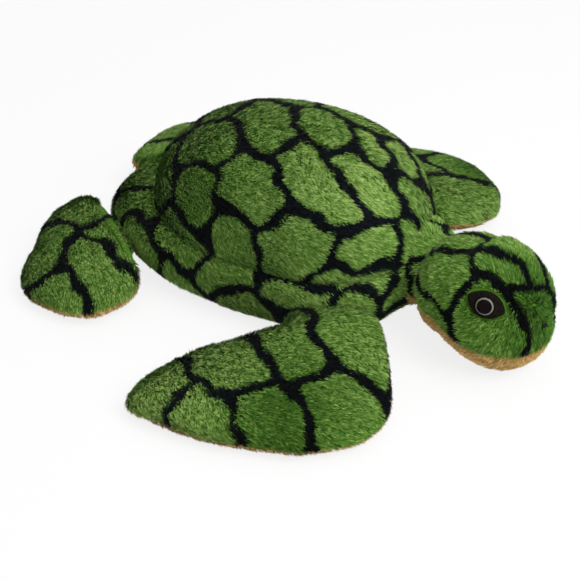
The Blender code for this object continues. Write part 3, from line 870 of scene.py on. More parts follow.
class Board:
    """A node tree with short ways to add and join nodes."""

    def __init__(self, tree: bpy.types.NodeTree) -> None:
        """Starts on an empty tree."""
        self.tree = tree
        tree.nodes.clear()

    def add(self, kind: str, settings: dict | None = None, **inputs) -> bpy.types.Node:
        """Adds a node.

        Args:
            kind: The node's type.
            settings: Its own properties.
            **inputs: Values or sockets for its inputs, with _ for a space in their names.

        Returns:
            The node.
        """
        node = self.tree.nodes.new(kind)
        for key, value in (settings or {}).items():
            setattr(node, key, value)
        for key, value in inputs.items():
            self.feed(node.inputs[key.replace("_", " ")], value)
        return node

    def feed(self, socket: bpy.types.NodeSocket, value) -> None:
        """Gives an input a socket to follow or a value to keep."""
        if isinstance(value, bpy.types.NodeSocket):
            self.tree.links.new(value, socket)
        elif isinstance(value, tuple) and len(value) == 3 and socket.type == "RGBA":
            socket.default_value = (*value, 1.0)
        else:
            socket.default_value = value

    def blend(self, share, first, second) -> bpy.types.NodeSocket:
        """A colour between two others."""
        node = self.add("ShaderNodeMix", {"data_type": "RGBA"})
        self.feed(node.inputs[0], share)
        self.feed(node.inputs[6], first)
        self.feed(node.inputs[7], second)
        return node.outputs[2]

    def sum(self, kind: str, first, second=0.0, clamp: bool = False) -> bpy.types.NodeSocket:
        """A number worked out from one or two others."""
        node = self.add("ShaderNodeMath", {"operation": kind, "use_clamp": clamp})
        self.feed(node.inputs[0], first)
        self.feed(node.inputs[1], second)
        return node.outputs[0]

    def ranged(self, value, low, high, to_low, to_high) -> bpy.types.NodeSocket:
        """A number carried from one range to another, held at its ends."""
        node = self.add("ShaderNodeMapRange")
        for index, item in enumerate((value, low, high, to_low, to_high)):
            self.feed(node.inputs[index], item)
        return node.outputs[0]

    def end(self, kind: str, surface: bpy.types.NodeSocket) -> None:
        """Closes the tree with its output."""
        self.feed(self.add(kind).inputs["Surface"], surface)

    def noted(self, name: str) -> bpy.types.NodeSocket:
        """A number that the mesh carries."""
        return self.add("ShaderNodeAttribute", {"attribute_name": name}).outputs["Fac"]

    def noise(self, scale: float, detail: float = 2.0, roughness: float = 0.5) -> bpy.types.NodeSocket:
        """Uneven values over the object's own space."""
        where = self.add("ShaderNodeTexCoord").outputs["Object"]
        node = self.add("ShaderNodeTexNoise", Vector=where, Scale=scale, Detail=detail, Roughness=roughness)
        return node.outputs["Fac"]


def new_material(name: str) -> tuple[bpy.types.Material, Board]:
    """An empty material with its board."""
    material = bpy.data.materials.new(name)
    material.use_nodes = True
    return material, Board(material.node_tree)


def group(name: str, inputs: dict[str, str], outputs: dict[str, str]) -> tuple[Board, dict, dict]:
    """An empty node group with its sockets.

    Args:
        name: The group's name.
        inputs: Socket types by name.
        outputs: Socket types by name.

    Returns:
        The board, the sockets that come in and the sockets that go out.
    """
    tree = bpy.data.node_groups.new(name, "ShaderNodeTree")
    for label, kind in inputs.items():
        tree.interface.new_socket(label, in_out="INPUT", socket_type=kind)
    for label, kind in outputs.items():
        tree.interface.new_socket(label, in_out="OUTPUT", socket_type=kind)
    board = Board(tree)
    come = board.add("NodeGroupInput").outputs
    leave = board.add("NodeGroupOutput").inputs
    return board, {label: come[label] for label in inputs}, {label: leave[label] for label in outputs}


def strand_group() -> bpy.types.NodeTree:
    """The colour of one tuft, from its root to its tip, on the print's ground or on its lines."""
    name = "strand colour"
    if name in bpy.data.node_groups:
        return bpy.data.node_groups[name]
    number, colour = "NodeSocketFloat", "NodeSocketColor"
    board, come, leave = group(
        name,
        {"Rise": number, "Tint": number, "Ink": number, "Root": colour, "Middle": colour, "Tip": colour,
         "Ink Root": colour, "Ink Tip": colour, "Spread": number},
        {"Color": colour, "Roughness": number},
    )
    # Darker towards the root is painted shade of the pile's depth; paler towards the tip is partly the
    # fibres' own lighter tips and partly a painted highlight.
    lower = board.ranged(come["Rise"], 0.0, 0.45, 0.0, 1.0)
    upper = board.ranged(come["Rise"], 0.35, 1.0, 0.0, 1.0)
    broad = board.ranged(board.noise(22.0), 0.3, 0.7, -1.0, 1.0)
    fine = board.ranged(board.noise(260.0, 3.0), 0.3, 0.7, -1.0, 1.0)
    drift = board.sum("ADD", board.sum("MULTIPLY", broad, 0.35), board.sum("MULTIPLY", fine, 0.25))
    shade = board.sum("ADD", come["Tint"], drift)
    pale = board.sum("MULTIPLY", upper, board.ranged(shade, -0.6, 1.5, 0.15, 1.0))
    ground = board.blend(lower, come["Root"], come["Middle"])
    ground = board.blend(pale, ground, come["Tip"])
    # The lightness follows the tint, which holds each tuft's own tone and the painted light and shade.
    value = board.sum("MULTIPLY_ADD", shade, come["Spread"])
    board.feed(value.node.inputs[2], 1.0)
    tinted = board.add("ShaderNodeHueSaturation")
    board.feed(tinted.inputs["Color"], ground)
    board.feed(tinted.inputs["Value"], value)
    board.feed(tinted.inputs["Hue"], board.ranged(shade, -2.0, 2.0, 0.508, 0.492))
    ink = board.blend(pale, come["Ink Root"], come["Ink Tip"])
    inked = board.add("ShaderNodeHueSaturation", Color=ink)
    board.feed(inked.inputs["Value"], value)
    board.feed(leave["Color"], board.blend(come["Ink"], tinted.outputs[0], inked.outputs[0]))
    board.feed(leave["Roughness"], board.ranged(shade, -2.0, 2.0, 0.92, 0.78))
    return board.tree


def weave_group() -> bpy.types.NodeTree:
    """The height of a close knitted backing."""
    name = "knit backing"
    if name in bpy.data.node_groups:
        return bpy.data.node_groups[name]
    board, come, leave = group(name, {"Scale": "NodeSocketFloat"}, {"Height": "NodeSocketFloat"})
    where = board.add("ShaderNodeTexCoord").outputs["Object"]
    loops = board.add("ShaderNodeTexVoronoi", {"feature": "F1"}, Vector=where, Scale=come["Scale"])
    fuzz = board.noise(2400.0, 3.0)
    fuzzy = board.sum("ADD", loops.outputs["Distance"], board.sum("MULTIPLY", fuzz, 0.5))
    board.feed(leave["Height"], fuzzy)
    return board.tree


@dataclass(frozen=True)
class PlushFinish:
    """Plush of one dye, with or without dark printed lines."""

    name: str
    # The root colour is darkened as painted shade of the pile's depth; the tip colour is partly a painted
    # highlight.
    root: Colour
    middle: Colour
    tip: Colour
    ink_root: Colour = linear(0, 1, 2)
    ink_tip: Colour = linear(20, 30, 34)
    spread: float = 0.26
    sheen: float = 0.02
    knit_scale: float = 900.0

    def surface(self, board: Board, rise, tint, ink) -> bpy.types.Node:
        """The strand colour on a Principled shader.

        Args:
            board: The material's tree.
            rise: Root to tip, from nought to one.
            tint: The tuft's own lightness.
            ink: One on a printed line.

        Returns:
            The shader's node.
        """
        colour = board.add("ShaderNodeGroup", {"node_tree": strand_group()})
        for label, value in (
            ("Rise", rise), ("Tint", tint), ("Ink", ink), ("Root", self.root), ("Middle", self.middle),
            ("Tip", self.tip), ("Ink Root", self.ink_root), ("Ink Tip", self.ink_tip),
            ("Spread", self.spread),
        ):
            board.feed(colour.inputs[label], value)
        shader = board.add("ShaderNodeBsdfPrincipled")
        board.feed(shader.inputs["Base Color"], colour.outputs["Color"])
        board.feed(shader.inputs["Roughness"], colour.outputs["Roughness"])
        shader.inputs["Specular IOR Level"].default_value = 0.1
        shader.inputs["Sheen Weight"].default_value = self.sheen
        shader.inputs["Sheen Roughness"].default_value = 0.45
        board.end("ShaderNodeOutputMaterial", shader.outputs[0])
        return shader

    def pile(self) -> bpy.types.Material:
        """The material of the tufts."""
        material, board = new_material(self.name + " pile")
        self.surface(board, board.noted("rise"), board.noted("tint"), board.noted("ink"))
        return material

    def backing(self) -> bpy.types.Material:
        """The material of the cloth that the tufts stand in."""
        material, board = new_material(self.name + " backing")
        ink = board.ranged(board.noted("line"), -0.4 * MM, 0.4 * MM, 1.0, 0.0)
        # The backing takes a colour low on the tuft, darkened by the painted shade at the roots.
        shader = self.surface(board, 0.32, 0.0, ink)
        knit = board.add("ShaderNodeGroup", {"node_tree": weave_group()}, Scale=self.knit_scale)
        bump = board.add("ShaderNodeBump", Height=knit.outputs["Height"], Strength=0.5, Distance=0.4 * MM)
        board.feed(shader.inputs["Normal"], bump.outputs["Normal"])
        return material


# Root colours hold painted shade; tip colours are partly a painted highlight.
GREEN_PLUSH = PlushFinish(
    "green plush", linear(22, 48, 8), linear(80, 131, 34), linear(174, 196, 118)
)
TAN_PLUSH = PlushFinish(
    "tan plush", linear(118, 88, 42), linear(196, 158, 92), linear(226, 200, 140), spread=0.16
)


@dataclass(frozen=True)
class ButtonFinish:
    """Glossy moulded plastic with a dark middle and a pale ring near its rim."""

    middle: Colour = linear(8, 4, 4)
    ring: Colour = linear(122, 122, 114)
    rim: Colour = linear(10, 9, 8)

    def material(self) -> bpy.types.Material:
        """The material, which reads how far each point lies from the button's axis."""
        material, board = new_material("eye plastic")
        out = board.noted("out")
        ring = board.sum(
            "MULTIPLY",
            board.ranged(out, 0.78, 0.83, 0.0, 1.0),
            board.ranged(out, 0.92, 0.96, 1.0, 0.0),
        )
        grain = board.ranged(board.noise(900.0, 3.0), 0.3, 0.7, 0.75, 1.15)
        pale = board.add("ShaderNodeHueSaturation", Color=self.ring)
        board.feed(pale.inputs["Value"], grain)
        depth = board.ranged(out, 0.0, 0.75, 0.0, 1.0)
        dark = board.blend(depth, linear(16, 7, 6), self.middle)
        dark = board.blend(board.ranged(out, 0.94, 0.97, 0.0, 1.0), dark, self.rim)
        colour = board.blend(ring, dark, pale.outputs[0])
        shader = board.add("ShaderNodeBsdfPrincipled")
        board.feed(shader.inputs["Base Color"], colour)
        board.feed(shader.inputs["Roughness"], board.ranged(board.noise(300.0), 0.3, 0.7, 0.05, 0.11))
        shader.inputs["Specular IOR Level"].default_value = 0.05
        board.end("ShaderNodeOutputMaterial", shader.outputs[0])
        return material


@dataclass(frozen=True)
class PlainFinish:
    """Felt, thread or plain plastic: one colour with its own mottling and grain."""

    name: str
    dark: Colour
    light: Colour
    scale: float
    roughness: float
    bump: float
    sheen: float = 0.0

    def material(self) -> bpy.types.Material:
        """The material."""
        material, board = new_material(self.name)
        grain = board.noise(self.scale, 4.0, 0.6)
        colour = board.blend(board.ranged(grain, 0.35, 0.65, 0.0, 1.0), self.dark, self.light)
        shader = board.add("ShaderNodeBsdfPrincipled")
        board.feed(shader.inputs["Base Color"], colour)
        rough = board.ranged(grain, 0.3, 0.7, self.roughness, self.roughness * 0.86)
        board.feed(shader.inputs["Roughness"], rough)
        shader.inputs["Sheen Weight"].default_value = self.sheen
        shader.inputs["Specular IOR Level"].default_value = 0.08
        bump = board.add("ShaderNodeBump", Height=grain, Strength=self.bump, Distance=0.3 * MM)
        board.feed(shader.inputs["Normal"], bump.outputs["Normal"])
        board.end("ShaderNodeOutputMaterial", shader.outputs[0])
        return material


LID_FELT = PlainFinish("lid felt", linear(8, 6, 4), linear(26, 20, 13), 500.0, 0.95, 0.6)
BLACK_THREAD = PlainFinish("black thread", linear(10, 10, 12), linear(30, 30, 32), 1600.0, 0.7, 0.4)
WASHER_PLASTIC = PlainFinish(
    "washer plastic", linear(196, 196, 190), linear(216, 216, 210), 500.0, 0.45, 0.1
)


# --- Sub-assemblies ----------------------------------------------------------------------------

HEAD_TURN = math.radians(-20)
HEAD_FORE = turned(FORE, UP, HEAD_TURN)
HEAD_LEFT = turned(LEFT, UP, HEAD_TURN)
NECK_REACH = 102 * MM
NECK_PIVOT = FORE * NECK_REACH + UP * 44 * MM
BODY_FORM = BodyForm()


def ahead_of_neck(reach: float, height: float) -> Array:
    """A place in front of the neck's axis, on the head's middle plane."""
    return FORE * NECK_REACH + HEAD_FORE * (reach - NECK_REACH) + UP * height


HEAD_PIVOT = ahead_of_neck(163 * MM, 49.5 * MM)
FACE_TURN = math.radians(12)
FACE_ROLL = math.radians(-12)
NECK_BALL = Ball(NECK_PIVOT, UP, 36 * MM - SKIN_INSET, 37 * MM - SKIN_INSET)
HEAD_BALL = Ball(HEAD_PIVOT, HEAD_LEFT, 46 * MM - SKIN_INSET, 42 * MM - SKIN_INSET)


def face_turned(vector: Array) -> Array:
    """A direction on the head, turned and rolled a little as the face is."""
    return turned(turned(vector, HEAD_FORE, FACE_ROLL), UP, FACE_TURN)


def near(pivot: Array) -> Callable[[Array], Array]:
    """Places on the head or the neck, from rows of millimetres ahead of, left of and above a pivot."""
    axes = np.stack((HEAD_FORE, HEAD_LEFT, UP)) * MM
    return lambda rows: pivot + rows @ axes


def nap_towards(way: tuple[float, float, float]) -> Callable[..., Array]:
    """Nap that lies one way over a whole form."""
    return lambda patch, along, across, normals: np.array(way) + normals * 0.0


def nap_over_rim(patch: Patch, along: Array, across: Array, normals: Array) -> Array:
    """Nap that lies towards the head over the flanks, and hangs down over the rump."""
    hangs = np.clip((patch.place(along, across)[:, 1:2] - 40 * MM) / (60 * MM), 0.0, 1.0)
    hangs *= np.clip(1.3 - normals[:, 2:] * 2.0, 0.0, 1.0)
    return np.array((0.0, -1.0, -0.35)) * (1.0 - hangs) + np.array((0.1, -0.25, -1.0)) * hangs


def stays_inside(
    points: Array, depth: Callable[[Array], Array], pivot: Array, axis: Array, angles: tuple[float, ...]
) -> Array:
    """Which points lie inside another form at every turn of a joint.

    Args:
        points: Rows of places on the part that moves.
        depth: How far inside the other form a place lies.
        pivot: A place on the joint's axis.
        axis: The axis's direction.
        angles: Turns in degrees.

    Returns:
        True for each point that never shows.
    """
    inside = np.ones(len(points), bool)
    for angle in angles:
        inside &= depth(turned(points - pivot, axis, math.radians(angle)) + pivot) > HIDDEN_DEPTH
    return inside


@dataclass
class Panel:
    """One cut of plush: its backing, its pile, the body it rides on and the nodes it stands for."""

    name: str
    patch: Patch
    cloth: Cloth
    pile: Pile
    finish: PlushFinish
    body: str
    node: str
    stands_for: tuple[str, ...] = ()
    fill: float = 0.75

    def make(self) -> bpy.types.Object:
        """Returns:
            The backing cloth.
        """
        cloth = self.cloth.lay(self.name + "_cloth", self.patch, self.finish.backing())
        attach(cloth, self.body)
        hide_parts(self.node, *self.stands_for)
        LOG.info("%s: %d faces", cloth.name, len(cloth.data.polygons))
        for tufts in self.pile.grow(self.name + "_pile", self.patch, self.finish.pile()):
            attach(tufts, self.body)
            LOG.info("%s: %d faces", tufts.name, len(tufts.data.polygons))
        return cloth


@dataclass
class Body:
    """The shell's dome, the two sides of the rim, and the belly."""

    form: BodyForm = BODY_FORM
    balls: list[Ball] = field(default_factory=list)
    shell_cells: tuple[tuple[float, ...], ...] = (
        (-172, 28, 180, 37), (172, 48, 158, 51), (148, 73, -108, 75), (63, 84, -5, 75), (75, 60, 47, 55),
        (11, 62, 2, 57), (21, 48, 9, 40), (29, 26), (-140, 47, -131, 56), (-121, 32, -114, 18),
        (-100, 50, -90, 36), (-70, 64, -50, 41), (-24, 58, -18, 38), (1, 34, 6, 16), (-128, 5, -108, 0),
        (-95, 16, -99, 5), (-78, 18, -65, 21), (-44, 15, -28, 14), (-12, 10), (-50, 1, -30, 0),
        (-161, 26, -138, 17), (152, 20), (126, 14), (100, 20), (74, 14), (52, 24), (132, 42), (104, 46),
        (78, 38), (120, 66), (24, 8), (-160, 4), (42, 4),
    )
    side_cells: tuple[tuple[float, ...], ...] = (
        (129, 58, 108, 53), (99, 41, 92, 53), (77, 50, 62, 48), (46, 45, 44, 38), (112, 26, 109, 12),
        (92, 24, 88, 19), (135, 43, 121, 30), (150, 49, 146, 58), (178, 49, 174, 52), (19, 36), (16, 12),
        (155, 22), (176, 22), (66, 20), (46, 18), (49, 58, 32, 58),
    )
    over_rim_cells: tuple[tuple[float, ...], ...] = ((79, 3, 60, 3),)

    def hidden(self, points: Array) -> Array:
        """Which places the neck's or a flipper's root always covers."""
        return np.max([ball.depth(points) for ball in self.balls], axis=0) > HIDDEN_DEPTH

    def on_dome(self, rows: Array) -> Array:
        """Places on the dome from rows of a turn round it and a lean up from its seam, in degrees."""
        turns, leans = np.radians(rows).T
        return self.form.ring(turns, self.form.dome_rows(leans / (math.pi / 2)))

    def patch(
        self, turn: float, rows: Callable[[Array], Array], flow: Callable[..., Array], ink: NetPrint | NoPrint
    ) -> Patch:
        """A stretch of the body's cloth.

        Args:
            turn: How far round the body it goes.
            rows: Its levels, from a share of its way up.
            flow: The nap's lie.
            ink: What is printed on it.

        Returns:
            The patch.
        """

        def place(along: Array, across: Array) -> Array:
            return self.form.ring(along * turn, rows(across))

        def middle(along: Array, across: Array) -> Array:
            return self.form.middle(place(along, across))

        return Patch(place=place, middle=middle, flow=flow, ink=ink, hidden=self.hidden)

    def shell(self) -> Panel:
        """The dome."""
        ink = NetPrint(cores(self.shell_cells, self.on_dome))
        patch = self.patch(math.tau, self.form.dome_rows, nap_towards((0.0, -1.0, -0.2)), ink)
        return Panel(
            "shell", patch, Cloth(150, 48), Pile(seed=101), GREEN_PLUSH, "body", "shell_panel",
            ("body_stuffing",),
        )

    def side(self, side: Side) -> Panel:
        """One side of the rim, from the middle of the front round to the middle of the rump."""
        form = self.form
        shares = np.linspace(0.0, 1.0, 200)
        levels = form.side_rows(shares)[:, 0]

        def spot(rows: Array) -> Array:
            up = np.interp(rows[:, 1] * MM, levels, shares)
            return form.ring(np.radians(rows[:, 0]) * side.value, form.side_rows(up))

        def over_rim(rows: Array) -> Array:
            return self.on_dome(rows * (side.value, 1))

        cells = (cores(self.side_cells, spot), cores(self.over_rim_cells, over_rim))
        ink = NetPrint(np.concatenate(cells), seed=31 if side is Side.LEFT else 37)
        patch = self.patch(math.pi * side.value, form.side_rows, nap_over_rim, ink)
        name = f"side_{side.word}"
        node = f"side_panel_{side.word}"
        return Panel(name, patch, Cloth(110, 36), Pile(seed=111 + side.value), GREEN_PLUSH, "body", node)

    def belly(self) -> Panel:
        """The belly, which the toy rests on."""
        patch = self.patch(math.tau, self.form.belly_rows, nap_towards((0.0, 1.0, 0.0)), NoPrint())
        pile = Pile(seed=121, length=3.6 * MM, density=0.8e6)
        return Panel("belly", patch, Cloth(100, 30), pile, TAN_PLUSH, "body", "belly_panel")

    def build(self) -> None:
        """Builds the four panels."""
        for panel in (self.shell(), self.side(Side.LEFT), self.side(Side.RIGHT), self.belly()):
            panel.make()


@dataclass
class StuffedLimb:
    """Two panels over one form, sewn together along its edges."""

    name: str
    body: str
    form: Limb
    seam: float
    nodes: tuple[str, str, str]
    labels: tuple[str, str]
    ink: NetPrint
    nap: Callable[..., Array]
    start: float = 0.0
    columns: int = 90
    rows: int = 40
    pinch: float = 2.4 * MM
    pinch_reach: float = 5.0 * MM
    pattern_form: Limb | None = None
    hidden: Callable[[Array], Array] | None = None
    trim: Callable[[Array], Array] | None = None
    pile: Pile = Pile()
    # The underside's pile takes none of the painted light and shade.
    under_pile: Pile = Pile(length=4.2 * MM, density=1.1e6, painted_light_share=0.0)
    seed: int = 200

    def patch(self, first: float, last: float, ink: NetPrint | NoPrint) -> Patch:
        """The stretch of cloth between two seams.

        Args:
            first: The angle of its first edge.
            last: The angle of its last edge.
            ink: What is printed on it.

        Returns:
            The patch.
        """

        def spread(along: Array) -> Array:
            even = (1.0 - np.cos(along * math.pi)) / 2.0
            return self.start + (1.0 - self.start) * even

        def place(along: Array, across: Array, form: Limb = self.form) -> Array:
            angle = first + (last - first) * across
            return form.place(spread(along), angle, self.seam, self.pinch, self.pinch_reach)

        flat = self.pattern_form
        return Patch(
            place=place,
            middle=lambda along, across: self.form.at(spread(along))[0],
            flow=self.nap,
            ink=ink,
            pattern=(lambda along, across: place(along, across, flat)) if flat else None,
            hidden=self.hidden,
            trim=self.trim,
        )

    def build(self) -> bpy.types.Object:
        """Builds both panels.

        Returns:
            The backing of the upper one.
        """
        upper = self.patch(self.seam, math.pi - self.seam, self.ink)
        under = self.patch(math.pi - self.seam, math.tau + self.seam, NoPrint())
        kinds = (
            (upper, self.pile, GREEN_PLUSH, (self.nodes[2],)),
            (under, self.under_pile, TAN_PLUSH, ()),
        )
        made = []
        for index, (patch, pile, finish, filling) in enumerate(kinds):
            panel = Panel(
                self.labels[index], patch, Cloth(self.columns, self.rows),
                replace(pile, seed=self.seed + index), finish, self.body, self.nodes[index], filling,
            )
            made.append(panel.make())
        return made[0]


@dataclass
class Neck:
    """The neck, a short stuffed tube between the body and the head."""

    radius: float = 37 * MM
    half_height: float = 36 * MM
    ball_angle: float = math.radians(33)
    mouth_half_width: float = 32 * MM
    mouth_half_height: float = 29 * MM
    mouth_rise: float = 6 * MM
    mouth_set: float = 10 * MM
    seam: float = math.radians(-25)
    turns: tuple[float, ...] = (-2.0, 10.0, 25.0, 40.0)
    cells: tuple[tuple[float, ...], ...] = (
        (6, -7, 36, 26, 2, 36), (2, -30, -6, 4, -28, -14), (40, -35, 20, 48, -34, 0),
        (20, 30, 16), (-8, 26, 28),
    )

    def form(self) -> Limb:
        """The neck's form."""
        radius = self.radius - SKIN_INSET
        half_height = self.half_height - SKIN_INSET
        sections = rounded_back(NECK_PIVOT, -HEAD_FORE, HEAD_LEFT, radius, radius, half_height)
        for lean in (self.ball_angle / 2, self.ball_angle):
            size = math.cos(lean)
            centre = NECK_PIVOT + HEAD_FORE * (radius * math.sin(lean))
            sections.append(
                Section(centre, HEAD_LEFT, radius * size, half_height * size, half_height * size)
            )
        mouth = ahead_of_neck(163 * MM - self.mouth_set, NECK_PIVOT[2] + self.mouth_rise)
        width = self.mouth_half_width - SKIN_INSET
        height = self.mouth_half_height - SKIN_INSET
        sections.append(Section(mouth, HEAD_LEFT, width, height, height))
        return Limb(sections, Ripples(50 * MM, 41), 0.8 * MM)

    def hidden(self, points: Array) -> Array:
        """Which places the body or the head always covers."""
        in_body = stays_inside(points, BODY_FORM.depth, NECK_PIVOT, UP, self.turns)
        return in_body | (HEAD_BALL.depth(points) > HIDDEN_DEPTH)

    def build(self) -> None:
        """Builds the neck."""
        StuffedLimb(
            "neck", "neck", self.form(), self.seam,
            ("neck_cover", "throat_cover", "neck_stuffing"), ("neck", "throat"),
            NetPrint(cores(self.cells, near(NECK_PIVOT), 3), half_line=3.4 * MM, seed=43),
            nap_towards(tuple(-HEAD_FORE - UP * 0.4)), start=0.12, columns=50, hidden=self.hidden, seed=141,
        ).build()


@dataclass
class Head:
    """The head, with a rounded back that sits in the neck."""

    half_width: float = 46 * MM
    radius: float = 42 * MM
    reach: float = 70 * MM
    droop: float = 16 * MM
    seam: float = math.radians(-15)
    nods: tuple[float, ...] = (-18.0, 0.0, 18.0)
    section_shares: tuple[tuple[float, float, float, float], ...] = (
        (0.18, 1.04, 1.14, 1.09), (0.38, 1.03, 1.18, 1.10), (0.58, 0.95, 1.10, 1.02),
        (0.76, 0.79, 0.92, 0.86), (0.90, 0.55, 0.62, 0.60), (0.98, 0.26, 0.26, 0.28),
    )
    cells: tuple[tuple[float, ...], ...] = (
        (-11, -40, 20, 2, -31, 34), (36, -32, 31, 58, -34, 0), (24, -14, 46, 43, -3, 38),
        (56, -6, 26, 72, 8, 4), (15, 5, 49, 45, 16, 36), (-12, -41, -3), (-14, 27, 30), (44, 38, 18),
        (20, 44, 4), (48, 38, -4), (-10, 2, 46),
    )

    def form(self) -> Limb:
        """The head's form."""
        radius = self.radius - SKIN_INSET
        half_width = self.half_width - SKIN_INSET
        sections = rounded_back(HEAD_PIVOT, -HEAD_FORE, HEAD_LEFT, half_width, radius, radius)
        for reach, width, crown, chin in self.section_shares:
            sections.append(
                Section(
                    HEAD_PIVOT + HEAD_FORE * ((self.reach - SKIN_INSET) * reach)
                    - UP * (self.droop * reach**2),
                    HEAD_LEFT,
                    self.half_width * width - SKIN_INSET,
                    self.radius * crown - SKIN_INSET,
                    self.radius * chin - SKIN_INSET,
                )
            )
        nose = HEAD_PIVOT + HEAD_FORE * (self.reach - SKIN_INSET) - UP * self.droop
        sections.append(Section(nose, HEAD_LEFT, 0.0, 0.0, 0.0))
        return Limb(sections, Ripples(50 * MM, 47), 0.7 * MM)

    def build(self, neck: Limb) -> None:
        """Builds the head with its face.

        Args:
            neck: The form of the neck, which hides the head's back.
        """
        marks = [kind(side) for kind in (Eye, Nostril) for side in Side]

        def hidden(points: Array) -> Array:
            covered = stays_inside(points, neck.depth, HEAD_PIVOT, HEAD_LEFT, self.nods)
            for piece in marks:
                covered |= piece.from_edge(points) < 0.4 * MM
            return covered

        def trim(points: Array) -> Array:
            away = np.min([piece.from_edge(points) for piece in marks], axis=0)
            return np.clip(0.45 + away / (9 * MM), 0.45, 1.0)

        cloth = StuffedLimb(
            "head", "head", self.form(), self.seam,
            ("head_panel", "jaw_panel", "head_stuffing"), ("head", "jaw"),
            NetPrint(cores(self.cells, near(HEAD_PIVOT), 3), half_line=3.5 * MM, corner=1.3 * MM, seed=53),
            nap_towards(tuple(-HEAD_FORE - UP * 0.55)), start=0.06, columns=80, hidden=hidden, trim=trim,
            seed=151,
        ).build()
        skin = BVHTree.FromPolygons(
            [vert.co.copy() for vert in cloth.data.vertices],
            [tuple(face.vertices) for face in cloth.data.polygons],
        )
        for piece in marks:
            piece.build(skin)


@dataclass
class Mark:
    """A place on the head with a direction out of it, where an oval piece sits on the cloth."""

    side: Side
    length: float
    width: float

    def __post_init__(self) -> None:
        """Works out the place's own axes."""
        self.start, self.out, lengthwise = (face_turned(row) for row in self.stance())
        self.start = self.start + HEAD_PIVOT
        self.along = unit(lengthwise - self.out * (lengthwise @ self.out))
        self.rise = np.cross(self.out, self.along)

    def stance(self) -> tuple[Array, Array, Array]:
        """Where the piece sits from the head's pivot, the direction out, and its own length's direction."""
        raise NotImplementedError

    def from_edge(self, points: Array) -> Array:
        """About how far each point lies outside the mark's oval, negative on it."""
        aside = points - self.start
        along, rise, out = aside @ self.along, aside @ self.rise, aside @ self.out
        share = np.sqrt((along / (self.length / 2)) ** 2 + (rise / (self.width / 2)) ** 2)
        return np.where(out > 0.0, (share - 1.0) * self.width / 2, 1.0)

    def on_skin(self, skin: BVHTree, along: float, rise: float, height: float) -> Vector:
        """A place above the cloth beside the mark's middle."""
        start = Vector(self.start + self.along * along + self.rise * rise + self.out * 0.2)
        found = skin.ray_cast(start, Vector(-self.out))[0]
        return found + Vector(self.out) * height

    def almond(self, skin: BVHTree, point: float, height: float, dome: float) -> bmesh.types.BMesh:
        """A patch with pointed or round ends that follows the cloth.

        Args:
            skin: The head's cloth.
            point: How pointed its ends are.
            height: Its height above the cloth at its edge.
            dome: How much higher its middle stands.

        Returns:
            The open sheet.
        """
        shape = bmesh.new()
        bmesh.ops.create_grid(shape, x_segments=48, y_segments=9, size=0.5)
        for vert in shape.verts:
            angle = (vert.co.x + 0.5) * math.tau
            spread = vert.co.y + 0.5
            cosine, sine = math.cos(angle), math.sin(angle)
            edge = self.width / 2 * sine * abs(sine) ** point
            lift = height + dome * (1.0 - spread**4)
            vert.co = self.on_skin(skin, self.length / 2 * cosine * spread, edge * spread, lift)
        bmesh.ops.remove_doubles(shape, verts=shape.verts, dist=WELD)
        shape.normal_update()
        normal = sum((face.normal for face in shape.faces), Vector())
        if normal.dot(Vector(self.out)) < 0.0:
            bmesh.ops.reverse_faces(shape, faces=shape.faces)
        return shape


@dataclass
class Eye(Mark):
    """A safety eye: a domed button on a felt lid."""

    length: float = 30 * MM
    width: float = 19 * MM
    radius: float = 7 * MM
    bulge: float = 3.6 * MM
    flange: float = 1 * MM
    shank_radius: float = 2.2 * MM
    shank_length: float = 12 * MM
    lid_point: float = 0.5
    reach_share: float = 0.288
    height: float = 9 * MM
    toe: float = math.radians(14)
    lift: float = math.radians(8)
    slant: float = math.radians(10)

    def stance(self) -> tuple[Array, Array, Array]:
        """Where the eye sits and looks, and the way its lid points."""
        level = HEAD_LEFT * (self.side.value * math.cos(self.toe)) + HEAD_FORE * math.sin(self.toe)
        out = level * math.cos(self.lift) + UP * math.sin(self.lift)
        lengthwise = HEAD_FORE * math.cos(self.slant) - UP * math.sin(self.slant)
        return HEAD_FORE * (70 * MM * self.reach_share) + UP * self.height, out, lengthwise

    def build(self, skin: BVHTree) -> None:
        """Builds the button and its lid.

        Args:
            skin: The head's cloth.
        """
        node = f"eye_{self.side.word}"
        corners = np.array([vert.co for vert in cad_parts[node].data.vertices])
        seat = ((corners - self.start) @ self.out).max() - self.flange - self.bulge
        base = self.start + self.out * seat
        profile = [(0.0, -self.shank_length), (self.shank_radius, -self.shank_length),
                   (self.shank_radius, 0.0), (self.radius * 0.94, 0.0), (self.radius, self.flange * 0.3)]
        for lean in np.linspace(0.0, math.pi / 2, 14):
            profile.append((self.radius * math.cos(lean), self.flange + self.bulge * math.sin(lean)))
        shape = bmesh.new()
        verts = [shape.verts.new((radius, 0.0, height)) for radius, height in profile]
        edges = [shape.edges.new(pair) for pair in zip(verts, verts[1:], strict=False)]
        bmesh.ops.spin(
            shape, geom=verts + edges, cent=(0, 0, 0), axis=(0, 0, 1), angle=math.tau, steps=64,
            use_merge=True,
        )
        bmesh.ops.remove_doubles(shape, verts=shape.verts, dist=WELD / 2)
        bmesh.ops.recalc_face_normals(shape, faces=shape.faces)
        layer = shape.verts.layers.float.new("out")
        for vert in shape.verts:
            vert[layer] = math.hypot(vert.co.x, vert.co.y) / self.radius
        turn = Matrix((self.along, self.rise, self.out)).transposed().to_4x4()
        bmesh.ops.transform(shape, matrix=Matrix.Translation(base) @ turn, verts=shape.verts)
        button = new_object(f"eye_button_{self.side.word}", mesh_of(node, shape), ButtonFinish().material())
        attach(button, "head")
        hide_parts(node)
        sheet = self.almond(skin, self.lid_point, 3.3 * MM, 0.8 * MM)
        lid = new_object(f"eye_lid_{self.side.word}", mesh_of("lid", sheet), LID_FELT.material())
        thicken(lid, 3.6 * MM)
        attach(lid, "head")
        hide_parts(f"eyelid_{self.side.word}")
        LOG.info("%s and %s", button.name, lid.name)


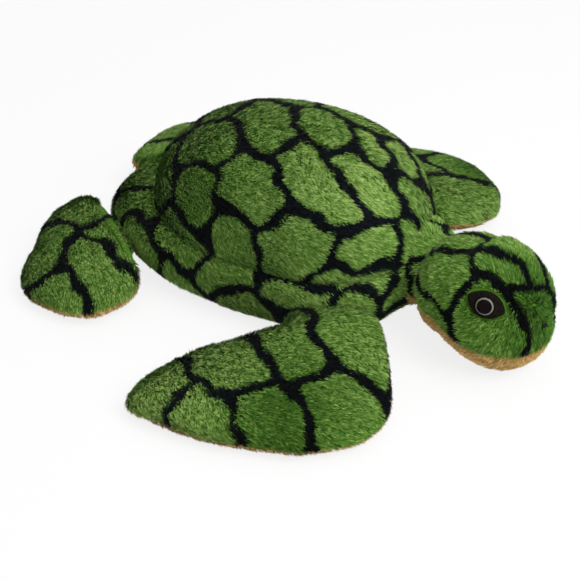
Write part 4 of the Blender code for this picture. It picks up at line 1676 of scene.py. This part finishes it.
@dataclass
class Nostril(Mark):
    """A sewn nostril: a satin-stitched bar."""

    out_of_middle: float = 9 * MM
    height: float = -1.5 * MM
    length: float = 6 * MM
    width: float = 3.4 * MM

    def stance(self) -> tuple[Array, Array, Array]:
        """Where the nostril sits."""
        aside = HEAD_LEFT * (self.side.value * self.out_of_middle)
        return aside + UP * self.height, HEAD_FORE, HEAD_LEFT

    def build(self, skin: BVHTree) -> None:
        """Builds the nostril.

        Args:
            skin: The head's cloth.
        """
        sheet = self.almond(skin, 0.0, 2.6 * MM, 1.0 * MM)
        name = f"nostril_{self.side.word}"
        bar = new_object(f"nostril_stitch_{self.side.word}", mesh_of(name, sheet), BLACK_THREAD.material())
        thicken(bar, 3.0 * MM)
        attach(bar, "head")
        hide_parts(name)
        LOG.info("%s", bar.name)


@dataclass
class FlipperPair:
    """Sizes of one pair of flippers, and where their roots lie round the body."""

    name: str
    hinge_turn: float
    half_chord: float
    root_radius: float
    span: float
    sweep: float
    top: float
    under: float
    blade_shares: tuple[tuple[float, ...], ...]
    tip_shares: tuple[float, float]
    bends: dict[Side, float]
    flaps: dict[Side, tuple[float, ...]]
    cells: tuple[tuple[float, ...], ...]
    naps: tuple[tuple[float, float], tuple[float, float]]
    seed: int
    seam: float = 0.0
    roll_height: float = BODY_FORM.roll.height
    edge_height: float = 10 * MM
    root_seat: float = 1.8 * MM
    bend_end_share: float = 0.50

    def outward(self, side: Side) -> Array:
        """The direction away from the body's roll at the middle of the root."""
        turn, slope = math.radians(self.hinge_turn), 2.0 - BODY_FORM.outline_power
        across = side.value * bowed(math.sin(turn), slope) / BODY_FORM.roll.half_width
        along = -bowed(math.cos(turn), slope) / self.reach()
        return unit(np.array((across, along, 0.0)))

    def reach(self) -> float:
        """How far the body's roll reaches forward or back on the root's side."""
        roll = BODY_FORM.roll
        return roll.front if math.cos(math.radians(self.hinge_turn)) > 0.0 else roll.rear

    def aft(self, side: Side) -> Array:
        """The direction of the hinge's axis, towards the tail."""
        return np.cross(UP, self.outward(side)) * side.value

    def hinge(self, side: Side) -> Array:
        """The middle of the hinge's axis."""
        turn, power = math.radians(self.hinge_turn), BODY_FORM.outline_power
        across = side.value * BODY_FORM.roll.half_width * bowed(math.sin(turn), power)
        along = -self.reach() * bowed(math.cos(turn), power)
        wall = np.array((across, along, self.roll_height))
        return wall + self.outward(side) * (self.root_radius - self.root_seat)

    def spot(self, side: Side, out: float, aft: float, drop: float, bend: float) -> Array:
        """A place on the blade's edge."""
        flat = self.outward(side) * (self.span * out) + self.aft(side) * (self.sweep * aft)
        return self.hinge(side) + turned(flat, UP, bend) - UP * (
            (self.roll_height - self.edge_height) * drop
        )

    def bend(self, side: Side, out: float, aft: float, share: float) -> float:
        """How far a section is swept about the root, from its leading edge's place."""
        reach = math.hypot(self.span * out, self.sweep * aft)
        past = max(reach - self.half_chord, 0.0) / (self.sweep * self.bend_end_share)
        return side.value * math.radians(self.bends[side]) * min(past, 1.0) * share

    def form(self, side: Side, bent: bool = True) -> Limb:
        """The flipper's form, bent as it lies or flat as it was cut.

        Args:
            side: Which flipper.
            bent: Whether it is bent as it lies.

        Returns:
            The form.
        """
        share = 1.0 if bent else 0.0
        radius = self.root_radius - SKIN_INSET
        sections = rounded_back(
            self.hinge(side), -self.outward(side), -self.aft(side),
            self.half_chord - SKIN_INSET, radius, radius,
        )
        for row in self.blade_shares:
            lead_out, lead_aft, trail_out, trail_aft, fullness, lead_drop, trail_drop = row
            bend = self.bend(side, lead_out, lead_aft, share)
            lead = self.spot(side, lead_out, lead_aft, lead_drop, bend)
            trail = self.spot(side, trail_out, trail_aft, trail_drop, bend)
            sections.append(
                Section(
                    (lead + trail) / 2, unit(lead - trail),
                    float(np.linalg.norm(lead - trail)) / 2 - SKIN_INSET,
                    self.top * fullness - SKIN_INSET, self.under * fullness - SKIN_INSET,
                )
            )
        tip = self.spot(side, *self.tip_shares, 1.0, bend)
        tipward = unit(tip - sections[-1].centre)
        sections.append(Section(tip - tipward * SKIN_INSET, sections[-1].across, 0.0, 0.0, 0.0))
        return Limb(sections, Ripples(45 * MM, self.seed + side.value), 0.8 * MM)

    def ball(self, side: Side) -> Ball:
        """The root's own round, which turns about the hinge."""
        return Ball(
            self.hinge(side), self.aft(side), self.half_chord - SKIN_INSET, self.root_radius - SKIN_INSET
        )

    def nap(self, side: Side) -> Callable[..., Array]:
        """The nap's lie, which turns from the front of the blade to its tip."""
        out, aft, hinge = self.outward(side), self.aft(side), self.hinge(side)

        def lie(patch: Patch, along: Array, across: Array, normals: Array) -> Array:
            share = np.clip((patch.place(along, across) - hinge) @ aft / self.sweep, 0.0, 1.0)[:, None]
            mix = np.array(self.naps[0]) * (1.0 - share) + np.array(self.naps[1]) * share
            return out * mix[:, :1] + aft * mix[:, 1:] - UP * 0.1

        return lie

    def build(self, side: Side) -> None:
        """Builds one flipper."""
        body = f"{self.name}_{side.word}"
        out, aft = self.outward(side), self.aft(side)
        axes = np.stack((out * self.span, aft * self.sweep))
        middle = self.hinge(side) - UP * 8 * MM
        cells = cores(self.cells, lambda rows: middle + rows @ axes)

        def hidden(points: Array) -> Array:
            return stays_inside(
                points, BODY_FORM.depth, self.hinge(side), aft * -side.value, self.flaps[side]
            )

        StuffedLimb(
            body, body, self.form(side), self.seam,
            (body + "_top", body + "_under", body + "_stuffing"), (body + "_upper", body + "_lower"),
            NetPrint(cells, seed=self.seed + 3 * side.value), self.nap(side), start=0.03, rows=44,
            pattern_form=self.form(side, bent=False), hidden=hidden,
            seed=self.seed + 10 * side.value,
        ).build()


FRONT_FLIPPERS = FlipperPair(
    name="front_flipper", hinge_turn=56.0, half_chord=39 * MM, root_radius=14 * MM, span=114 * MM,
    sweep=147 * MM, top=21 * MM, under=9 * MM,
    blade_shares=(
        (0.20, -0.29, 0.05, 0.28, 0.92, 0.35, 0.10), (0.46, -0.30, 0.07, 0.42, 1.00, 0.75, 0.25),
        (0.72, -0.27, 0.10, 0.56, 1.00, 1.00, 0.45), (0.93, -0.14, 0.14, 0.70, 0.97, 1.00, 0.60),
        (1.02, 0.14, 0.20, 0.82, 0.92, 1.00, 0.75), (0.96, 0.46, 0.29, 0.92, 0.86, 1.00, 0.88),
        (0.84, 0.74, 0.38, 0.99, 0.78, 1.00, 0.95), (0.70, 0.92, 0.48, 1.03, 0.62, 1.00, 1.00),
    ),
    tip_shares=(0.60, 1.04),
    bends={Side.LEFT: 38.0, Side.RIGHT: 0.0},
    flaps={Side.LEFT: (-10.0, 0.0, 20.0), Side.RIGHT: (-15.0, 0.0, 15.0, 35.0)},
    cells=(
        (0.42, 0.85, 0.65, 0.90), (0.27, 0.62, 0.47, 0.45), (0.79, 0.71, 0.87, 0.58),
        (0.80, 0.37, 0.88, 0.26), (0.26, 0.20, 0.42, 0.14), (0.66, 0.03, 0.86, -0.02),
        (0.24, -0.01, 0.33, -0.22), (0.72, -0.52), (0.33, -0.38), (0.92, 0.93),
    ),
    naps=((1.0, -1.6), (1.0, -0.2)),
    seed=61,
    seam=math.radians(4),
)
REAR_FLIPPERS = FlipperPair(
    name="rear_flipper", hinge_turn=139.0, half_chord=38 * MM, root_radius=12.5 * MM, span=90 * MM,
    sweep=70 * MM, top=19 * MM, under=9 * MM,
    blade_shares=(
        (-0.02, -0.74, -0.06, 0.76, 0.94, 0.45, 0.00), (0.16, -0.98, 0.06, 0.96, 1.00, 0.90, 0.05),
        (0.44, -1.02, 0.24, 0.94, 1.00, 1.00, 0.20), (0.68, -0.84, 0.46, 0.75, 0.94, 1.00, 0.50),
        (0.84, -0.54, 0.66, 0.46, 0.80, 1.00, 0.85),
    ),
    tip_shares=(0.92, -0.02),
    bends={Side.LEFT: 26.0, Side.RIGHT: 0.0},
    flaps={Side.LEFT: (-15.0, 0.0, 30.0), Side.RIGHT: (-15.0, 0.0, 30.0)},
    cells=(
        (0.30, 0.61, 0.02, 0.31), (0.29, -0.30, 0.31, -0.72), (0.52, 0.32, 0.75, -0.08),
        (0.79, -0.49, 0.70, -0.70), (0.02, -0.04, -0.05, -0.42),
    ),
    naps=((0.4, -1.0), (0.4, -1.0)),
    seed=81,
    seam=math.radians(9),
)


# --- Studio ------------------------------------------------------------------------------------


@dataclass(frozen=True)
class Lamp:
    """A square soft lamp that looks at the toy."""

    name: str
    azimuth: float
    elevation: float
    distance: float
    size: float
    power: float

    def hang(self, target: Vector) -> None:
        """Adds the lamp."""
        data = bpy.data.lights.new(self.name, "AREA")
        data.size = self.size
        data.energy = self.power
        aimed(data, target, self.azimuth, self.elevation, self.distance)


def aimed(
    data: bpy.types.ID, target: Vector, azimuth: float, elevation: float, distance: float
) -> bpy.types.Object:
    """A lamp or a camera that looks at a place.

    Args:
        data: The lamp or the camera.
        target: Where it looks.
        azimuth: How far round the toy it stands, in degrees from the front.
        elevation: How far up it stands, in degrees.
        distance: How far from the target it stands.

    Returns:
        The linked object.
    """
    turn, lift = math.radians(azimuth), math.radians(elevation)
    back = Vector((math.sin(turn) * math.cos(lift), -math.cos(turn) * math.cos(lift), math.sin(lift)))
    thing = bpy.data.objects.new(data.name, data)
    bpy.context.scene.collection.objects.link(thing)
    thing.location = target + back * distance
    thing.rotation_mode = "QUATERNION"
    thing.rotation_quaternion = (-back).to_track_quat("-Z", "Y")
    return thing


@dataclass
class Studio:
    """White floor and backdrop, soft lamps, and the camera."""

    azimuth: float = -62.0
    elevation: float = 38.0
    distance: float = 0.9
    target: Vector = field(default_factory=lambda: Vector((-0.085, -0.033, 0.045)))
    focal_pixels: float = 1150.0
    picture_pixels: float = 580.0
    sensor: float = 36.0
    floor_size: float = 16.0
    world_light: float = 0.36
    lamps: tuple[Lamp, ...] = (
        Lamp("key", -14.0, 48.0, 1.6, 1.0, 18.0),
        Lamp("fill", -75.0, 50.0, 1.8, 1.4, 4.0),
        Lamp("top", 60.0, 75.0, 1.7, 1.5, 6.0),
        Lamp("back", 140.0, 35.0, 1.9, 1.2, 4.0),
    )

    def seen_white(self, board: Board) -> bpy.types.NodeSocket:
        """One for rays that look at the ground or come from gloss or glass."""
        path = board.add("ShaderNodeLightPath").outputs
        seen = board.sum("MAXIMUM", path["Is Camera Ray"], path["Is Glossy Ray"])
        return board.sum("MAXIMUM", seen, path["Is Transmission Ray"])

    def floor(self) -> None:
        """A white floor that keeps a faint shadow."""
        shape = bmesh.new()
        bmesh.ops.create_grid(shape, x_segments=1, y_segments=1, size=self.floor_size / 2)
        material, board = new_material("white floor")
        matt = board.add("ShaderNodeBsdfDiffuse", Color=(0.9, 0.9, 0.9, 1.0))
        glow = board.add("ShaderNodeEmission", Color=(1.0, 1.0, 1.0, 1.0), Strength=1.0)
        share = board.sum("MULTIPLY", self.seen_white(board), 0.82)
        both = board.add("ShaderNodeMixShader")
        board.feed(both.inputs[0], share)
        board.feed(both.inputs[1], matt.outputs[0])
        board.feed(both.inputs[2], glow.outputs[0])
        board.end("ShaderNodeOutputMaterial", both.outputs[0])
        new_object("floor", mesh_of("floor", shape, smooth=False), material)

    def backdrop(self) -> None:
        """White wherever the camera looks past the floor, and an even low light from all round."""
        world = bpy.data.worlds.new("studio")
        world.use_nodes = True
        bpy.context.scene.world = world
        board = Board(world.node_tree)
        seen = self.seen_white(board)
        light = board.ranged(seen, 0.0, 1.0, self.world_light, 1.0)
        glow = board.add("ShaderNodeBackground", Color=(1.0, 1.0, 1.0, 1.0))
        board.feed(glow.inputs["Strength"], light)
        board.end("ShaderNodeOutputWorld", glow.outputs[0])

    def camera(self) -> None:
        """The camera at the photograph's viewing angle."""
        data = bpy.data.cameras.new("camera")
        data.sensor_width = self.sensor
        data.lens = self.focal_pixels / self.picture_pixels * self.sensor
        place = (self.target, self.azimuth, self.elevation, self.distance)
        bpy.context.scene.camera = aimed(data, *place)

    def build(self) -> None:
        """Sets the studio up."""
        self.camera()
        self.floor()
        self.backdrop()
        for lamp in self.lamps:
            lamp.hang(Vector((0.0, 0.0, 0.05)))
        bpy.context.scene.view_settings.view_transform = "Standard"


def dress_washers() -> None:
    """Gives the lock washers, which stay as they are, their own plastic."""
    material = WASHER_PLASTIC.material()
    for side in Side:
        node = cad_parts[f"eye_washer_{side.word}"]
        for slot in node.material_slots:
            slot.material = material


def main() -> None:
    """Builds the studio and the toy, piece by piece."""
    logging.basicConfig(level=logging.INFO, format="%(message)s")
    Studio().build()
    pairs = (FRONT_FLIPPERS, REAR_FLIPPERS)
    balls = [NECK_BALL] + [pair.ball(side) for pair in pairs for side in Side]
    Body(balls=balls).build()
    neck = Neck()
    neck.build()
    Head().build(neck.form())
    for pair in pairs:
        for side in Side:
            pair.build(side)
    dress_washers()


if __name__ == "__main__":
    main()
